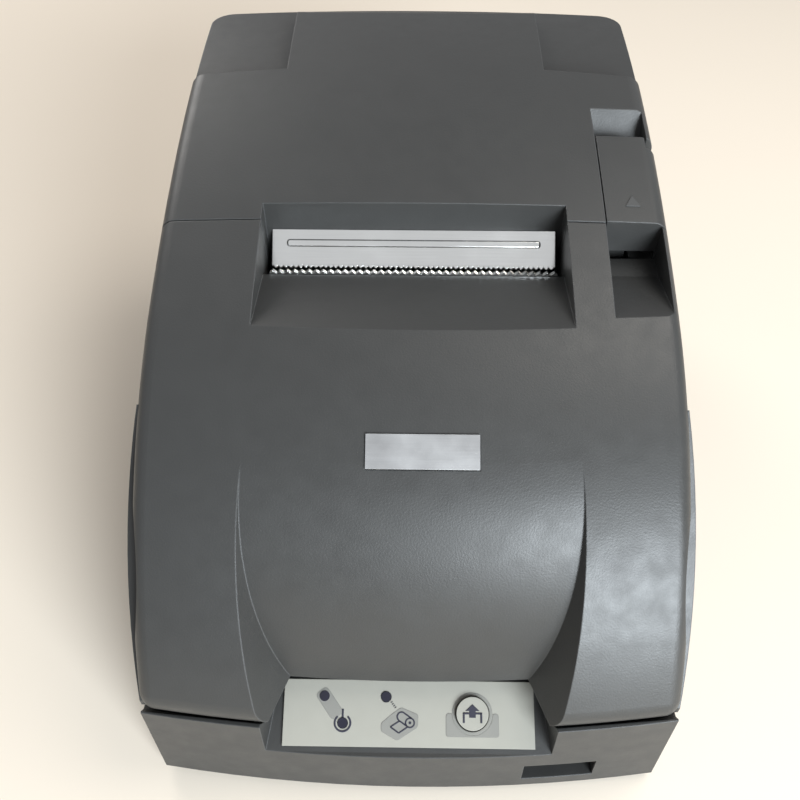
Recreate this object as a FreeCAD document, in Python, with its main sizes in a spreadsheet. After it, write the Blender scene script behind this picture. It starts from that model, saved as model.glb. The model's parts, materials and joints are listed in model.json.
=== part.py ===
import FreeCAD, Part
import os
import re
import Sketcher
from math import atan2, cos, pi, radians, sin, sqrt, tan

Vector = FreeCAD.Vector
Rotation = FreeCAD.Rotation

os.makedirs("parts", exist_ok=True)
doc = FreeCAD.newDocument("receipt_printer")

# Driving sizes in millimetres and degrees. X runs to the right, Y to the rear, Z up,
# with the origin under the middle of the printer on the table.
SIZES = {
    "overall_width": 160, "overall_depth": 248, "overall_height": 138.5,
    "cover_width": 154, "wall": 2.5, "foot_height": 3, "seam_gap": 0.5, "fit_gap": 0.3,
    "plan_radius": 540, "corner_round": 9, "edge_round": 5,
    # hood profile, from the crest at the rear over the brow to the lip at the front
    "crest_setback": 220.6, "main_radius": 450, "main_angle": 17, "brow_radius": 150,
    "brow_angle": 60, "lip_radius": 8, "lip_angle": 30, "front_rake": 1.2,
    # seams
    "seam_setback": 124, "skirt_z": 96, "skirt_front": 20, "shelf_setback": 52,
    "shelf_drop": 5.5, "shelf_gap": 0.8,
    # scoop down the middle of the front cover
    "scoop_angle": 32.7, "scoop_radius": 76, "scoop_top_half": 47, "scoop_lip_half": 42.5,
    "scoop_foot_half": 38.5, "plate_half": 15.5, "plate_rise": 4.8, "plate_lead": 1.3,
    "plate_x": 3,
    # side grips of the front cover
    "grip_radius": 110, "grip_depth": 2, "grip_tilt": 45, "grip_reach": 13,
    "cheek_front": 9, "cheek_length": 60,
    # control panel
    "panel_front_z": 26, "panel_tilt": 22, "panel_depth": 25, "panel_front_half": 42.5,
    "panel_rear_half": 38.5, "overlay_width": 75, "overlay_length": 19, "overlay_thick": 0.8,
    "lens_radius": 1.5, "button_radius": 4.8, "button_height": 5.2, "button_stroke": 1,
    "button_clear": 0.3, "button_x": 19,
    # power switch
    "switch_x": 46, "switch_z": 13, "switch_width": 22, "switch_height": 10, "switch_depth": 6,
    "rocker_width": 16, "rocker_height": 7,
    # paper exit
    "exit_half": 46, "exit_front": 37.5, "exit_rear": 6, "exit_lip": 9, "exit_floor_z": 113.5,
    "exit_deep": 8.5, "plate_thick": 1, "tear_teeth": 40,
    # cover lever
    "lever_x": 58, "lever_length": 36, "lever_well_z": 112, "lever_scoop": 14,
    "lever_pivot_y": 32.5, "lever_pivot_z": 118.5, "pin_radius": 1.5, "pin_clear": 0.05,
    # rear hinge and bump
    "hinge_y": 105.5, "hinge_drop": 14.5, "bump_half": 44, "hinge_pin_radius": 2,
    # print mechanism
    "frame_half": 68, "sheet": 1.2, "frame_front": 72, "frame_rear": 8, "deck_z": 20,
    "paper_y": -5, "feed_z": 97, "feed_radius": 6, "pinch_radius": 4.8, "paper_gap": 0.2,
    "shaft_radius": 2.5, "shaft_clear": 0.05, "print_z": 75, "rod_radius": 3,
    "rod_clear": 0.05, "gear_module": 1, "pinion_teeth": 12, "idler_teeth": 30,
    "roller_teeth": 24, "gear_width": 3, "gear_gap": 2,
    "pulley_x": 58, "pulley_y": 44, "pulley_z": 50, "pulley_radius": 6, "belt_height": 5,
    "belt_thick": 1, "motor_radius": 17.5, "motor_length": 20, "motor_shaft": 1.5,
    # paper roll bucket
    "bucket_y": 66, "bucket_z": 70, "bucket_radius": 44, "bucket_half": 40,
    # boards
    "board_thick": 1.6, "board_z": 12,
}

sheet = doc.addObject("Spreadsheet::Sheet", "Sizes")
for row, (alias, number) in enumerate(SIZES.items(), 1):
    sheet.set(f"A{row}", alias.replace("_", " "))
    sheet.set(f"B{row}", str(number))
    sheet.setAlias(f"B{row}", alias)
doc.recompute()

# Sizes that follow from the driving ones.
DERIVED = {
    "front_y": "-overall_depth / 2", "rear_y": "overall_depth / 2", "base_z": "foot_height",
    "cover_half": "cover_width / 2", "tab_half": "overall_width / 2",
    "plan_axis": "front_y + plan_radius",
    "crest_y": "front_y + crest_setback", "main_z": "overall_height - main_radius",
    "brow_y": "crest_y - (main_radius - brow_radius) * sin(main_angle)",
    "brow_z": "main_z + (main_radius - brow_radius) * cos(main_angle)",
    "lip_y": "brow_y - (brow_radius - lip_radius) * sin(brow_angle)",
    "lip_z": "brow_z + (brow_radius - lip_radius) * cos(brow_angle)",
    "lip_end_z": "lip_z - lip_radius * sin(lip_angle)",
    "lip_end_y": "lip_y - lip_radius * cos(lip_angle)",
    "seam_y": "front_y + seam_setback", "shelf_y": "rear_y - shelf_setback",
    "seam_reach": "hinge_y - seam_y", "seam_fall": "hinge_z - skirt_z",
    "seam_low_y": "hinge_y - sqrt(seam_reach * seam_reach - seam_fall * seam_fall)",
    "gear_inner": "frame_half + gear_gap",
    "floor_top": "base_z + 2",
    "turn_y": "lip_y + cover_half * cover_half / 2 / plan_radius", "turn_z": "lip_z",
    "hinge_z": "overall_height - hinge_drop",
    "panel_rear_y": "front_y + 2.2 + panel_depth * cos(panel_tilt)",
    "panel_rear_z": "panel_front_z + panel_depth * sin(panel_tilt)",
    "feed_y": "paper_y - feed_radius - paper_gap", "pinch_y": "paper_y + pinch_radius + 2 * paper_gap",
    "idler_z": "feed_z - gear_module * (idler_teeth + roller_teeth) / 2",
    "pinion_z": "idler_z - gear_module * (idler_teeth + pinion_teeth) / 2",
}


def full(expression):
    """Write an expression with every word spelled out as a cell of the sheet."""
    def swap(match):
        word = match.group(0)
        if word in DERIVED:
            return "(" + full(DERIVED[word]) + ")"
        return "Sizes." + word if word in SIZES else word
    return re.sub(r"[a-z][a-z_0-9]*", swap, str(expression))


def value(expression):
    """Work out an expression as a plain number."""
    number = sheet.evalExpression(full(expression).replace("Sizes.", ""))
    return float(getattr(number, "Value", number))


def bind(thing, **links):
    """Tie properties of an object to expressions; a double underscore stands for a dot."""
    for name, expression in links.items():
        thing.setExpression(name.replace("__", "."), full(expression))
    return thing


def box(name, across, along, up):
    """Block between (low, high) pairs of expressions on X, Y and Z."""
    made = doc.addObject("Part::Box", name)
    for prop, axis, (low, high) in zip(("Length", "Width", "Height"), "xyz", (across, along, up)):
        made.setExpression(prop, full(f"({high}) - ({low})"))
        made.setExpression("Placement.Base." + axis, full(low))
    return made


TURNS = {"x": Rotation(Vector(0, 1, 0), 90), "y": Rotation(Vector(1, 0, 0), -90), "z": Rotation()}


def rod(name, axis, radius, spot, span, tip=None):
    """Cylinder, or cone with a tip radius, along an axis. spot gives the other two places."""
    made = doc.addObject("Part::Cone" if tip else "Part::Cylinder", name)
    made.Placement = FreeCAD.Placement(Vector(), TURNS[axis])
    if tip:
        bind(made, Radius1=radius, Radius2=tip)
    else:
        bind(made, Radius=radius)
    bind(made, Height=f"({span[1]}) - ({span[0]})")
    others = [letter for letter in "xyz" if letter != axis]
    for letter, place in [(axis, span[0])] + list(zip(others, spot)):
        made.setExpression("Placement.Base." + letter, full(place))
    return made


def outline(sketch, points):
    """Draw a closed outline. A point is (u, v), or (u, v, held, centre u, centre v, side)
    where an arc arrives at it: held says which of its places is pinned."""
    spots = [Vector(value(p[0]), value(p[1]), 0) for p in points]
    ends = []
    for index, point in enumerate(points):
        start, end = spots[index - 1], spots[index]
        if len(point) == 2:
            sketch.addGeometry(Part.LineSegment(start, end), False)
            ends.append((1, 2))
            continue
        centre = Vector(value(point[3]), value(point[4]), 0)
        first, last = (start, end) if point[5] == "left" else (end, start)
        circle = Part.Circle(centre, Vector(0, 0, 1), (start - centre).Length)
        angles = [atan2(p.y - centre.y, p.x - centre.x) for p in (first, last)]
        sketch.addGeometry(Part.ArcOfCircle(circle, angles[0], angles[1]), False)
        ends.append((1, 2) if point[5] == "left" else (2, 1))
    count = len(points)
    for index in range(count):
        after = (index + 1) % count
        sketch.addConstraint(Sketcher.Constraint("Coincident", index, ends[index][1], after,
                                                 ends[after][0]))
    for index, point in enumerate(points):
        held = point[2] if len(point) > 2 else "uv"
        pins = [(letter, place, ends[index][1]) for letter, place in zip("uv", point[:2]) if letter in held]
        if len(point) > 2:
            pins += [("u", point[3], 3), ("v", point[4], 3)]
        for letter, place, vertex in pins:
            kind = "DistanceX" if letter == "u" else "DistanceY"
            rule = Sketcher.Constraint(kind, -1, 1, index, vertex, value(place))
            number = sketch.addConstraint(rule)
            title = f"{letter}{index}_{vertex}"
            sketch.renameConstraint(number, title)
            sketch.setExpression("Constraints." + title, full(place))


PLANES = {"x": "YZ_Plane", "y": "XZ_Plane", "z": "XY_Plane"}


def pad(name, axis, points, span):
    """Body with one outline padded along an axis between two places."""
    body = doc.addObject("PartDesign::Body", name)
    sketch = body.newObject("Sketcher::SketchObject", name + "_sketch")
    plane = [item for item in body.Origin.OriginFeatures if item.Role == PLANES[axis]][0]
    sketch.AttachmentSupport = [(plane, "")]
    sketch.MapMode = "FlatFace"
    outline(sketch, points)
    start = f"-({span[1]})" if axis == "y" else span[0]
    sketch.setExpression("AttachmentOffset.Base.z", full(start))
    feature = body.newObject("PartDesign::Pad", name + "_pad")
    feature.Profile = sketch
    feature.setExpression("Length", full(f"({span[1]}) - ({span[0]})"))
    return body


def swing(name, points):
    """Side outline turned about the upright axis that gives the front its curve in plan."""
    sketch = doc.addObject("Sketcher::SketchObject", name + "_sketch")
    sketch.Placement = FreeCAD.Placement(Vector(), Rotation(Vector(1, 1, 1), 120))
    outline(sketch, points)
    made = doc.addObject("Part::Revolution", name)
    made.Source = sketch
    made.Axis = Vector(0, 0, 1)
    made.Angle = 40
    made.Symmetric = True
    made.Solid = True
    made.setExpression("Base.y", full("plan_axis"))
    return made


def cut(name, base, *tools):
    for index, tool in enumerate(tools):
        made = doc.addObject("Part::Cut", name if index == len(tools) - 1 else f"{name}_{index}")
        made.Base = base
        made.Tool = tool
        base = made
    return base


def common(name, base, *tools):
    for index, tool in enumerate(tools):
        made = doc.addObject("Part::Common", name if index == len(tools) - 1 else f"{name}_{index}")
        made.Base = base
        made.Tool = tool
        base = made
    return base


def fuse(name, *shapes):
    made = doc.addObject("Part::MultiFuse", name)
    made.Shapes = list(shapes)
    made.Refine = True
    return made


def group(name, *shapes):
    """Separate solids that share one node."""
    made = doc.addObject("Part::Compound", name)
    made.Links = list(shapes)
    return made


def fillet(name, base, radius, chosen):
    """Round the edges for which chosen(edge) holds."""
    doc.recompute()
    size = value(radius)
    made = doc.addObject("Part::Fillet", name)
    made.Base = base
    made.Edges = [(i, size, size) for i, edge in enumerate(base.Shape.Edges, 1) if chosen(edge)]
    return made


nodes = []


def node(thing, label):
    thing.Label = label
    nodes.append(thing)
    return thing


# Outer skin: hood profile swung about the upright axis, trimmed by the plan outline.
def hood(name, inset):
    main = f"(main_radius - ({inset}))"
    brow = f"(brow_radius - ({inset}))"
    lip = f"(lip_radius - ({inset}))"
    rear = "rear_y + 20"
    rear_top = f"main_z + sqrt({main} * {main} - (rear_y + 20 - crest_y) * (rear_y + 20 - crest_y))"
    points = [
        (rear, "lip_end_z"),
        (rear, rear_top),
        (f"crest_y - {main} * sin(main_angle)", f"main_z + {main} * cos(main_angle)",
         "u", "crest_y", "main_z", "left"),
        (f"brow_y - {brow} * sin(brow_angle)", f"brow_z + {brow} * cos(brow_angle)",
         "u", "brow_y", "brow_z", "left"),
        (f"lip_y - {lip} * cos(lip_angle)", f"lip_z - {lip} * sin(lip_angle)",
         "v", "lip_y", "lip_z", "left"),
    ]
    if inset != "0":
        points.append((f"lip_y - {lip} * cos(lip_angle)", "lip_end_z"))
    return swing(name, points)


def plan(name, inset, low, high):
    half = f"(cover_half - ({inset}))"
    rear = f"(rear_y - ({inset}))"
    side = f"{rear} - {half} * {half} / 2 / plan_radius"
    arc_y = f"{rear} - plan_radius"
    points = [
        (half, side, "u", "0", arc_y, "right"),
        (half, "front_y - 20"),
        ("-" + half, "front_y - 20"),
        ("-" + half, side),
    ]
    return pad(name, "z", points, (low, high))


def rear_upright(edge):
    span = edge.BoundBox
    return span.XLength < 0.01 and span.YLength < 0.01 and span.YMin > 0


high_z = "overall_height + 20"
plan_outer = fillet("plan_outer", plan("plan_whole", "0", "-5", high_z), "corner_round", rear_upright)
plan_inner = plan("plan_inner", "wall", "-5", high_z)


def top_side(edge):
    """Edges where the top of the hood meets its flat sides."""
    span = edge.BoundBox
    flat = span.XLength < 0.01 and abs(span.XMax) > value("cover_half") - 0.01
    return flat and span.YLength > 0.1 and span.ZLength > 0.1


skin_square = common("skin_square", hood("hood_outer", "0"), plan_outer)
skin = fillet("skin", skin_square, "edge_round", top_side)
hollow = common("hollow", hood("hood_inner", "wall"), plan_inner)


# Recesses of the covers. Each is drawn true for the skin, and grown by the wall for the hollow.
def scoop(name, grow):
    radius = f"(scoop_radius - ({grow}))"
    mid_y = "(brow_y - (brow_radius - scoop_radius) * sin(scoop_angle))"
    mid_z = "(brow_z + (brow_radius - scoop_radius) * cos(scoop_angle))"
    top_y = f"{mid_y} - {radius} * sin(scoop_angle)"
    top_z = f"{mid_z} + {radius} * cos(scoop_angle)"
    foot_z = "lip_end_z - 6"
    foot_y = f"{mid_y} - sqrt({radius} * {radius} - (lip_end_z - 6 - {mid_z}) * (lip_end_z - 6 - {mid_z}))"
    trough = swing(name + "_trough", [
        ("front_y - 20", foot_z),
        ("front_y - 20", f"{top_z} + 12"),
        (f"{top_y} - 8", f"{top_z} + 12"),
        (top_y, top_z),
        (foot_y, foot_z, "v", mid_y, mid_z, "left"),
    ])
    taper = "((scoop_lip_half - scoop_foot_half) / 11)"
    wide = f"scoop_lip_half + ({grow}) + 20 * {taper}"
    slim = f"scoop_lip_half + ({grow}) - 100 * {taper}"
    hopper = doc.addObject("Part::Extrusion", name + "_hopper")
    sketch = doc.addObject("Sketcher::SketchObject", name + "_hopper_sketch")
    outline(sketch, [(wide, "front_y - 18"), (slim, "front_y + 102"),
                     ("-(" + slim + ")", "front_y + 102"), ("-(" + wide + ")", "front_y - 18")])
    rise = f"({top_z} - lip_z)"
    run = f"({top_y} - front_y - 2)"
    spread = f"((scoop_top_half - scoop_lip_half) + {run} * {taper})"
    hopper.Base = sketch
    hopper.DirMode = "Custom"
    sketch.setExpression("Placement.Base.z", full("lip_z"))
    # slide along the slanting walls, which open out by the spread over the rise
    hopper.setExpression("Dir.x", "0")
    hopper.setExpression("Dir.y", full(f"{spread} / {taper}"))
    hopper.setExpression("Dir.z", full(rise))
    bind(hopper, LengthFwd="2 * overall_height", LengthRev="overall_height / 2")
    hopper.Solid = True
    return common(name, trough, hopper)


def exit_well(name, grow):
    return pad(name, "x", [
        ("seam_y - exit_front", f"exit_floor_z + 4.6 - ({grow})"),
        (f"seam_y - exit_lip + ({grow})", f"exit_floor_z - ({grow})"),
        (f"seam_y - exit_lip + ({grow})", f"exit_floor_z - exit_deep - ({grow})"),
        (f"seam_y + exit_rear + ({grow})", f"exit_floor_z - exit_deep - ({grow})"),
        (f"seam_y + exit_rear + ({grow})", high_z),
        ("seam_y - exit_front", high_z),
    ], (f"-exit_half - ({grow})", f"exit_half + ({grow})"))


def thumb_well(name, grow):
    return pad(name, "x", [
        ("seam_y - 33", f"exit_floor_z + 5.2 - ({grow})"),
        ("seam_y - 8", f"exit_floor_z - 0.5 - ({grow})"),
        ("seam_y + 5", f"exit_floor_z - 0.5 - ({grow})"),
        ("seam_y + 5", high_z),
        ("seam_y - 33", high_z),
    ], (f"lever_x - 0.5 - ({grow})", f"cover_half - wall + 0.3 + ({grow})"))


def lever_well(name, grow):
    slot = box(name + "_slot", (f"lever_x - 0.4 - ({grow})", "cover_half + 20"),
               ("seam_y - 3", f"seam_y + lever_length + 0.6 + ({grow})"),
               (f"lever_well_z - ({grow})", high_z))
    dish = pad(name + "_dish", "x", [
        ("seam_y + lever_length - 6", f"lever_well_z + 8 - ({grow})"),
        (f"seam_y + lever_length + 4", f"lever_well_z + 8 - ({grow})"),
        (f"seam_y + lever_length + lever_scoop + ({grow})", "overall_height - 2"),
        (f"seam_y + lever_length + lever_scoop + ({grow})", high_z),
        ("seam_y + lever_length - 6", high_z),
    ], (f"lever_x - 0.4 - ({grow})", f"cover_half - wall + ({grow})"))
    return fuse(name, slot, dish)


scoop_cut, scoop_wall = scoop("scoop_cut", "0"), scoop("scoop_wall", "wall")
exit_cut, exit_wall = exit_well("exit_cut", "0"), exit_well("exit_wall", "wall")
thumb_cut, thumb_wall = thumb_well("thumb_cut", "0"), thumb_well("thumb_wall", "wall")
lever_cut, lever_wall = lever_well("lever_cut", "0"), lever_well("lever_wall", "wall")


# Front cover: hood ahead of the seam, above a skirt line that falls to the lip.
# The seam runs on an arc about the rear hinge, so that either cover opens past the other.
def front_region(name):
    gap = "seam_gap / 2"
    return pad(name, "x", [
        ("front_y - 20", "lip_end_z"),
        ("front_y + skirt_front", "lip_end_z"),
        (f"seam_low_y - {gap}", "skirt_z"),
        (f"seam_y - {gap}", "hinge_z", "v", "hinge_y", "hinge_z", "right"),
        (f"seam_y - {gap}", high_z),
        ("front_y - 20", high_z),
    ], ("-tab_half - 5", "tab_half + 5"))


def grip(name, side):
    """Lens-shaped finger groove in the side of the front cover."""
    made = doc.addObject("Part::Cylinder", name)
    made.Placement = FreeCAD.Placement(Vector(), Rotation(Vector(1, 0, 0), value("grip_tilt")))
    bind(made, Radius="grip_radius", Height="60")
    made.setExpression("Placement.Base.x", full(f"{side} * (cover_half + grip_radius - grip_depth)"))
    reach = "(brow_radius - grip_reach)"
    made.setExpression("Placement.Base.y", full(f"brow_y - {reach} * sin(grip_tilt)"))
    made.setExpression("Placement.Base.z", full(f"brow_z + {reach} * cos(grip_tilt)"))
    return made


def knuckle(name, side):
    """Hinge plate inside the shoulder of the front cover."""
    low, high = ("53", "56") if side > 0 else ("-56", "-53")
    plate = box(name + "_plate", (low, high), ("turn_y - 14", "turn_y + 5"), ("turn_z", "turn_z + 32"))
    held = common(name + "_held", plate, hood(name + "_hood", "wall / 2"))
    return fuse(name, held, rod(name + "_eye", "x", "5", ("turn_y", "turn_z"), (low, high)))


def cheek(name, side):
    """Lens of extra width low on each side, below the finger groove."""
    sign = "" if side > 0 else "-"
    swell = "(tab_half - cover_half)"
    radius = f"(cheek_length * cheek_length / 4 + {swell} * {swell}) / 2 / {swell}"
    first, last = "front_y + cheek_front", "front_y + cheek_front + cheek_length"
    inner, outer = sign + "(cover_half - wall / 2)", sign + "cover_half"
    lens = pad(name + "_lens", "z", [
        (inner, last), (inner, first), (outer, first),
        (outer, last, "v", f"{sign}(tab_half - {radius})", "front_y + cheek_front + cheek_length / 2",
         "left" if side > 0 else "right"),
    ], ("base_z", "overall_height"))
    reach = "(brow_radius - grip_reach)"
    top = f"brow_z + {reach} * cos(grip_tilt)"
    mid = f"brow_y - {reach} * sin(grip_tilt)"
    under = pad(name + "_under", "x", [
        ("front_y - 10", "0"), ("seam_y", "0"),
        ("seam_y", f"{top} + (seam_y - ({mid})) * tan(grip_tilt)"),
        ("front_y - 10", f"{top} + (front_y - 10 - ({mid})) * tan(grip_tilt)"),
    ], ("-tab_half - 5", "tab_half + 5"))
    return common(name, lens, under)


# Blank name plate, half sunk in the brow.
plate_angle = "(scoop_angle - plate_lead)"
plate_y = f"(brow_y - (brow_radius - 0.4) * sin({plate_angle}))"
plate_z = f"(brow_z + (brow_radius - 0.4) * cos({plate_angle}))"


def on_brow(name, across, along, up):
    made = doc.addObject("Part::Box", name)
    made.Placement = FreeCAD.Placement(Vector(), Rotation(Vector(1, 0, 0), value(plate_angle)))
    bind(made, Length=f"2 * {across}", Width=f"2 * {along}", Height=f"{up[1]} - ({up[0]})")
    bind(made, Placement__Base__x=f"plate_x - {across}",
         Placement__Base__y=f"{plate_y} - {along} * cos({plate_angle}) - ({up[0]}) * sin({plate_angle})",
         Placement__Base__z=f"{plate_z} - {along} * sin({plate_angle}) + ({up[0]}) * cos({plate_angle})")
    return made


front_zone = front_region("front_zone")
cheeks = fuse("cheeks", cheek("cheek_right", 1), cheek("cheek_left", -1))
front_hollow = cut("front_hollow", hollow, scoop_wall, exit_wall, thumb_wall)
front_block = common("front_block", skin, front_zone)
front_shell = cut("front_shell", front_block, front_hollow, scoop_cut, exit_cut, thumb_cut,
                  grip("grip_right", 1), grip("grip_left", -1))
pin_bores = [rod(f"pin_bore_{side}", "x", "hinge_pin_radius + pin_clear", ("turn_y", "turn_z"), reach)
             for side, reach in (("right", ("52", "70")), ("left", ("-70", "-52")))]
front_whole = fuse("front_whole", front_shell, common("front_cheeks", cheeks, front_zone),
                   knuckle("knuckle_right", 1), knuckle("knuckle_left", -1))
plate_seat = on_brow("plate_seat", "(plate_half + 0.2)", "(plate_rise + 0.2)", ("-0.2", "4"))
paper_slot = box("paper_slot", ("-exit_half", "exit_half"), ("seam_y - exit_lip", "seam_y + exit_lip"),
                 ("exit_floor_z - exit_deep - 2 * wall", "exit_floor_z - exit_deep + wall"))
node(cut("front_cover", front_whole, *pin_bores, plate_seat, paper_slot), "front_cover")
node(on_brow("name_plate_sheet", "plate_half", "plate_rise", ("-0.1", "0.9")), "name_plate")

# Roll cover: hood behind the seam, ending in a curved edge with the hinge bump in the middle.
def drum(name, less, low, high):
    radius = f"(plan_radius - ({less}))"
    side = f"shelf_y - plan_radius + sqrt({radius} * {radius} - overall_width * overall_width / 4)"
    return pad(name, "z", [
        ("-tab_half", "seam_y - 60"), ("tab_half", "seam_y - 60"), ("tab_half", side),
        ("-tab_half", side, "u", "0", "shelf_y - plan_radius", "left"),
    ], (low, high))


def bump(name, less, spare):
    half = f"bump_half - ({less})"
    block = box(name + "_block", (f"-({half})", half), ("shelf_y - 30", "hinge_y"), ("hinge_z - 7", high_z))
    barrel = rod(name + "_barrel", "x", f"hinge_drop - ({less}) + ({spare})", ("hinge_y", "hinge_z"),
                 (f"-({half})", half))
    return fuse(name, block, barrel)


roll_zone = pad("roll_zone", "x", [
    ("rear_y + 20", "skirt_z"),
    ("rear_y + 20", high_z),
    ("seam_y + seam_gap / 2", high_z),
    ("seam_y + seam_gap / 2", "hinge_z"),
    ("seam_low_y + seam_gap / 2", "skirt_z", "v", "hinge_y", "hinge_z", "left"),
], ("-tab_half", "tab_half"))
edge_z = "hinge_z + 8"
roll_plan = fuse("roll_plan", drum("drum_low", "2", "skirt_z - 1", edge_z),
                 drum("drum_high", "0", edge_z, high_z), bump("bump_outer", "0", "0.4"))
roll_block = common("roll_block", skin, roll_zone, roll_plan)
inner_plan = fuse("inner_plan", drum("drum_inner", "wall + 2", "skirt_z - 1", high_z),
                  bump("bump_inner", "wall", "-0.6"),
                  box("behind_middle", ("-bump_half", "bump_half"), ("shelf_y - 30", "shelf_y + 10"),
                      ("skirt_z - 1", "hinge_z - 6")),
                  box("behind_right", ("bump_half", "cover_half - wall"), ("shelf_y - 30", "rear_y"),
                      ("skirt_z - 1", "hinge_z + 4")),
                  box("behind_left", ("wall - cover_half", "-bump_half"), ("shelf_y - 30", "rear_y"),
                      ("skirt_z - 1", "hinge_z + 4")))
roll_hollow = cut("roll_hollow", common("roll_inner", hollow, inner_plan), exit_wall, lever_wall)
hook_slot = box("hook_slot", ("lever_x + 2.5", "lever_x + 9.5"), ("seam_y - 3", "seam_y + 15"),
                ("lever_well_z - 10", "lever_well_z + 1"))
lever_pin_spot = ("seam_y + lever_pivot_y", "lever_pivot_z")
lever_pin = rod("lever_pin", "x", "pin_radius", lever_pin_spot, ("lever_x - 2.5", "lever_x + 14"))
rear_bore = rod("rear_bore", "x", "hinge_pin_radius + pin_clear", ("hinge_y", "hinge_z"),
                ("-bump_half - 11", "bump_half + 11"))
roll_shell = cut("roll_shell", roll_block, roll_hollow, exit_cut, lever_cut, hook_slot, rear_bore)
ears = [box(f"ear_{side}", span, ("pinch_y - 3", "seam_y + exit_rear + 2"),
            ("feed_z - 4", "exit_floor_z - exit_deep - wall / 2"))
        for side, span in (("right", ("exit_half - 4.5", "exit_half - 2")),
                           ("left", ("2 - exit_half", "4.5 - exit_half")))]
pinch_bore = rod("pinch_bore", "x", "shaft_radius - 1 + shaft_clear", ("pinch_y", "feed_z"), ("-60", "60"))
node(cut("roll_cover", fuse("roll_whole", roll_shell, *ears), lever_pin, pinch_bore), "roll_cover")
node(lever_pin, "lever_pin")

# Cover lever, cut from the same skin, with its pivot ear, front face and latch hook.
lever_span = ("lever_x", "cover_half + 5")
lever_skin = common("lever_skin", cut("lever_plate", skin, hollow),
                    box("lever_zone", lever_span, ("seam_y + seam_gap", "seam_y + lever_length"),
                        ("lever_well_z + 0.6", high_z)))
lever_face = common("lever_face", skin, box("lever_front", lever_span,
                    ("seam_y + seam_gap", "seam_y + seam_gap + wall"), ("lever_well_z + 4", high_z)))
lever_ear = box("lever_ear", ("lever_x + 4", "lever_x + 11"),
                ("seam_y + lever_pivot_y - 4", "seam_y + lever_length - 0.2"),
                ("lever_pivot_z - 3.5", "overall_height - 6.2"))
lever_hook = box("lever_hook", ("lever_x + 3.5", "lever_x + 8.5"), ("seam_y + 5", "seam_y + 10"),
                 ("lever_well_z - 11", "lever_well_z + 14"))
lever_trim = box("lever_trim", ("cover_half - wall - 1", "cover_half + 6"),
                 ("seam_y + lever_length - 4.5", "seam_y + lever_length + 1"), ("lever_well_z", high_z))
lever_bore = rod("lever_bore", "x", "pin_radius + pin_clear", lever_pin_spot, ("lever_x", "cover_half"))
lever_whole = fuse("lever_whole", lever_skin, lever_face, lever_ear, lever_hook)
node(cut("open_lever", lever_whole, lever_trim, lever_bore), "open_lever")


# Control panel ledge: places along its slope and square to it, from its front edge.
def tilted(made, across, along, up):
    """Lay an object on the panel slope with its local Z square to the slope."""
    made.Placement = FreeCAD.Placement(Vector(), Rotation(Vector(1, 0, 0), value("panel_tilt")))
    made.setExpression("Placement.Rotation.Angle", full("panel_tilt"))
    return bind(made, Placement__Base__x=across,
                Placement__Base__y=f"front_y + 2.2 + ({along}) * cos(panel_tilt) - ({up}) * sin(panel_tilt)",
                Placement__Base__z=f"panel_front_z + ({along}) * sin(panel_tilt) + ({up}) * cos(panel_tilt)")


def panel_box(name, across, along, up):
    made = doc.addObject("Part::Box", name)
    for prop, (low, high) in zip(("Length", "Width", "Height"), (across, along, up)):
        made.setExpression(prop, full(f"({high}) - ({low})"))
    return tilted(made, across[0], along[0], up[0])


def panel_rod(name, radius, spot, up):
    made = doc.addObject("Part::Cylinder", name)
    bind(made, Radius=radius, Height=f"({up[1]}) - ({up[0]})")
    return tilted(made, spot[0], spot[1], up[0])


LAMPS = {"error": ("-25.3", "15.7"), "paper": ("-6.8", "15.7"), "power": ("-19.7", "8.1")}
BUTTON = ("button_x", "11.2")


# Main case: raked front face, sides under the covers, rear wall and rear shelf.
def case_form(name, inset, low):
    radius = f"(main_radius - shelf_drop - ({inset}))"
    face = f"front_y + front_rake + ({inset})"
    rear = "rear_y + 20"
    points = [
        (rear, low),
        (rear, f"main_z + sqrt({radius} * {radius} - (rear_y + 20 - crest_y) * (rear_y + 20 - crest_y))"),
        (face, f"main_z + sqrt({radius} * {radius} - ({face} - crest_y) * ({face} - crest_y))",
         "u", "crest_y", "main_z", "left"),
        (face, "lip_end_z"),
        (f"front_y + ({inset})", "base_z"),
    ]
    if low != "base_z":
        points.append((f"front_y + ({inset})", low))
    return swing(name, points)


case_zone = pad("case_zone", "x", [
    ("front_y - 20", "base_z"), ("rear_y + 20", "base_z"), ("rear_y + 20", high_z),
    ("shelf_y - 30", high_z), ("shelf_y - 30", "skirt_z - seam_gap"), ("seam_low_y", "skirt_z - seam_gap"),
    ("front_y + skirt_front", "lip_end_z - seam_gap"), ("front_y - 20", "lip_end_z - seam_gap"),
], ("-tab_half - 5", "tab_half + 5"))
case_block = common("case_block", case_form("case_outer", "0", "base_z"), plan_outer, case_zone)


def panel_pocket(name, grow):
    walls = pad(name + "_walls", "z", [
        (f"panel_front_half + ({grow}) + 2", "front_y - 10"),
        (f"panel_rear_half + ({grow})", f"panel_rear_y + ({grow})"),
        (f"-panel_rear_half - ({grow})", f"panel_rear_y + ({grow})"),
        (f"-panel_front_half - ({grow}) - 2", "front_y - 10"),
    ], ("0", "lip_end_z + 20"))
    ledge = pad(name + "_ledge", "x", [
        ("front_y - 10", f"panel_front_z - ({grow})"),
        (f"front_y + 2.2", f"panel_front_z - ({grow})"),
        (f"panel_rear_y + ({grow})", f"panel_rear_z - ({grow})"),
        (f"panel_rear_y + ({grow})", "lip_end_z + 20"),
        ("front_y - 10", "lip_end_z + 20"),
    ], ("-tab_half", "tab_half"))
    return common(name, walls, ledge)


switch_back = "front_y + 3 + switch_depth"


def switch_well(name, grow):
    return box(name, (f"switch_x - switch_width / 2 - ({grow})", f"switch_x + switch_width / 2 + ({grow})"),
               ("front_y - 10", f"{switch_back} + ({grow})"),
               (f"switch_z - switch_height / 2 - ({grow})", f"switch_z + switch_height / 2 + ({grow})"))


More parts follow.
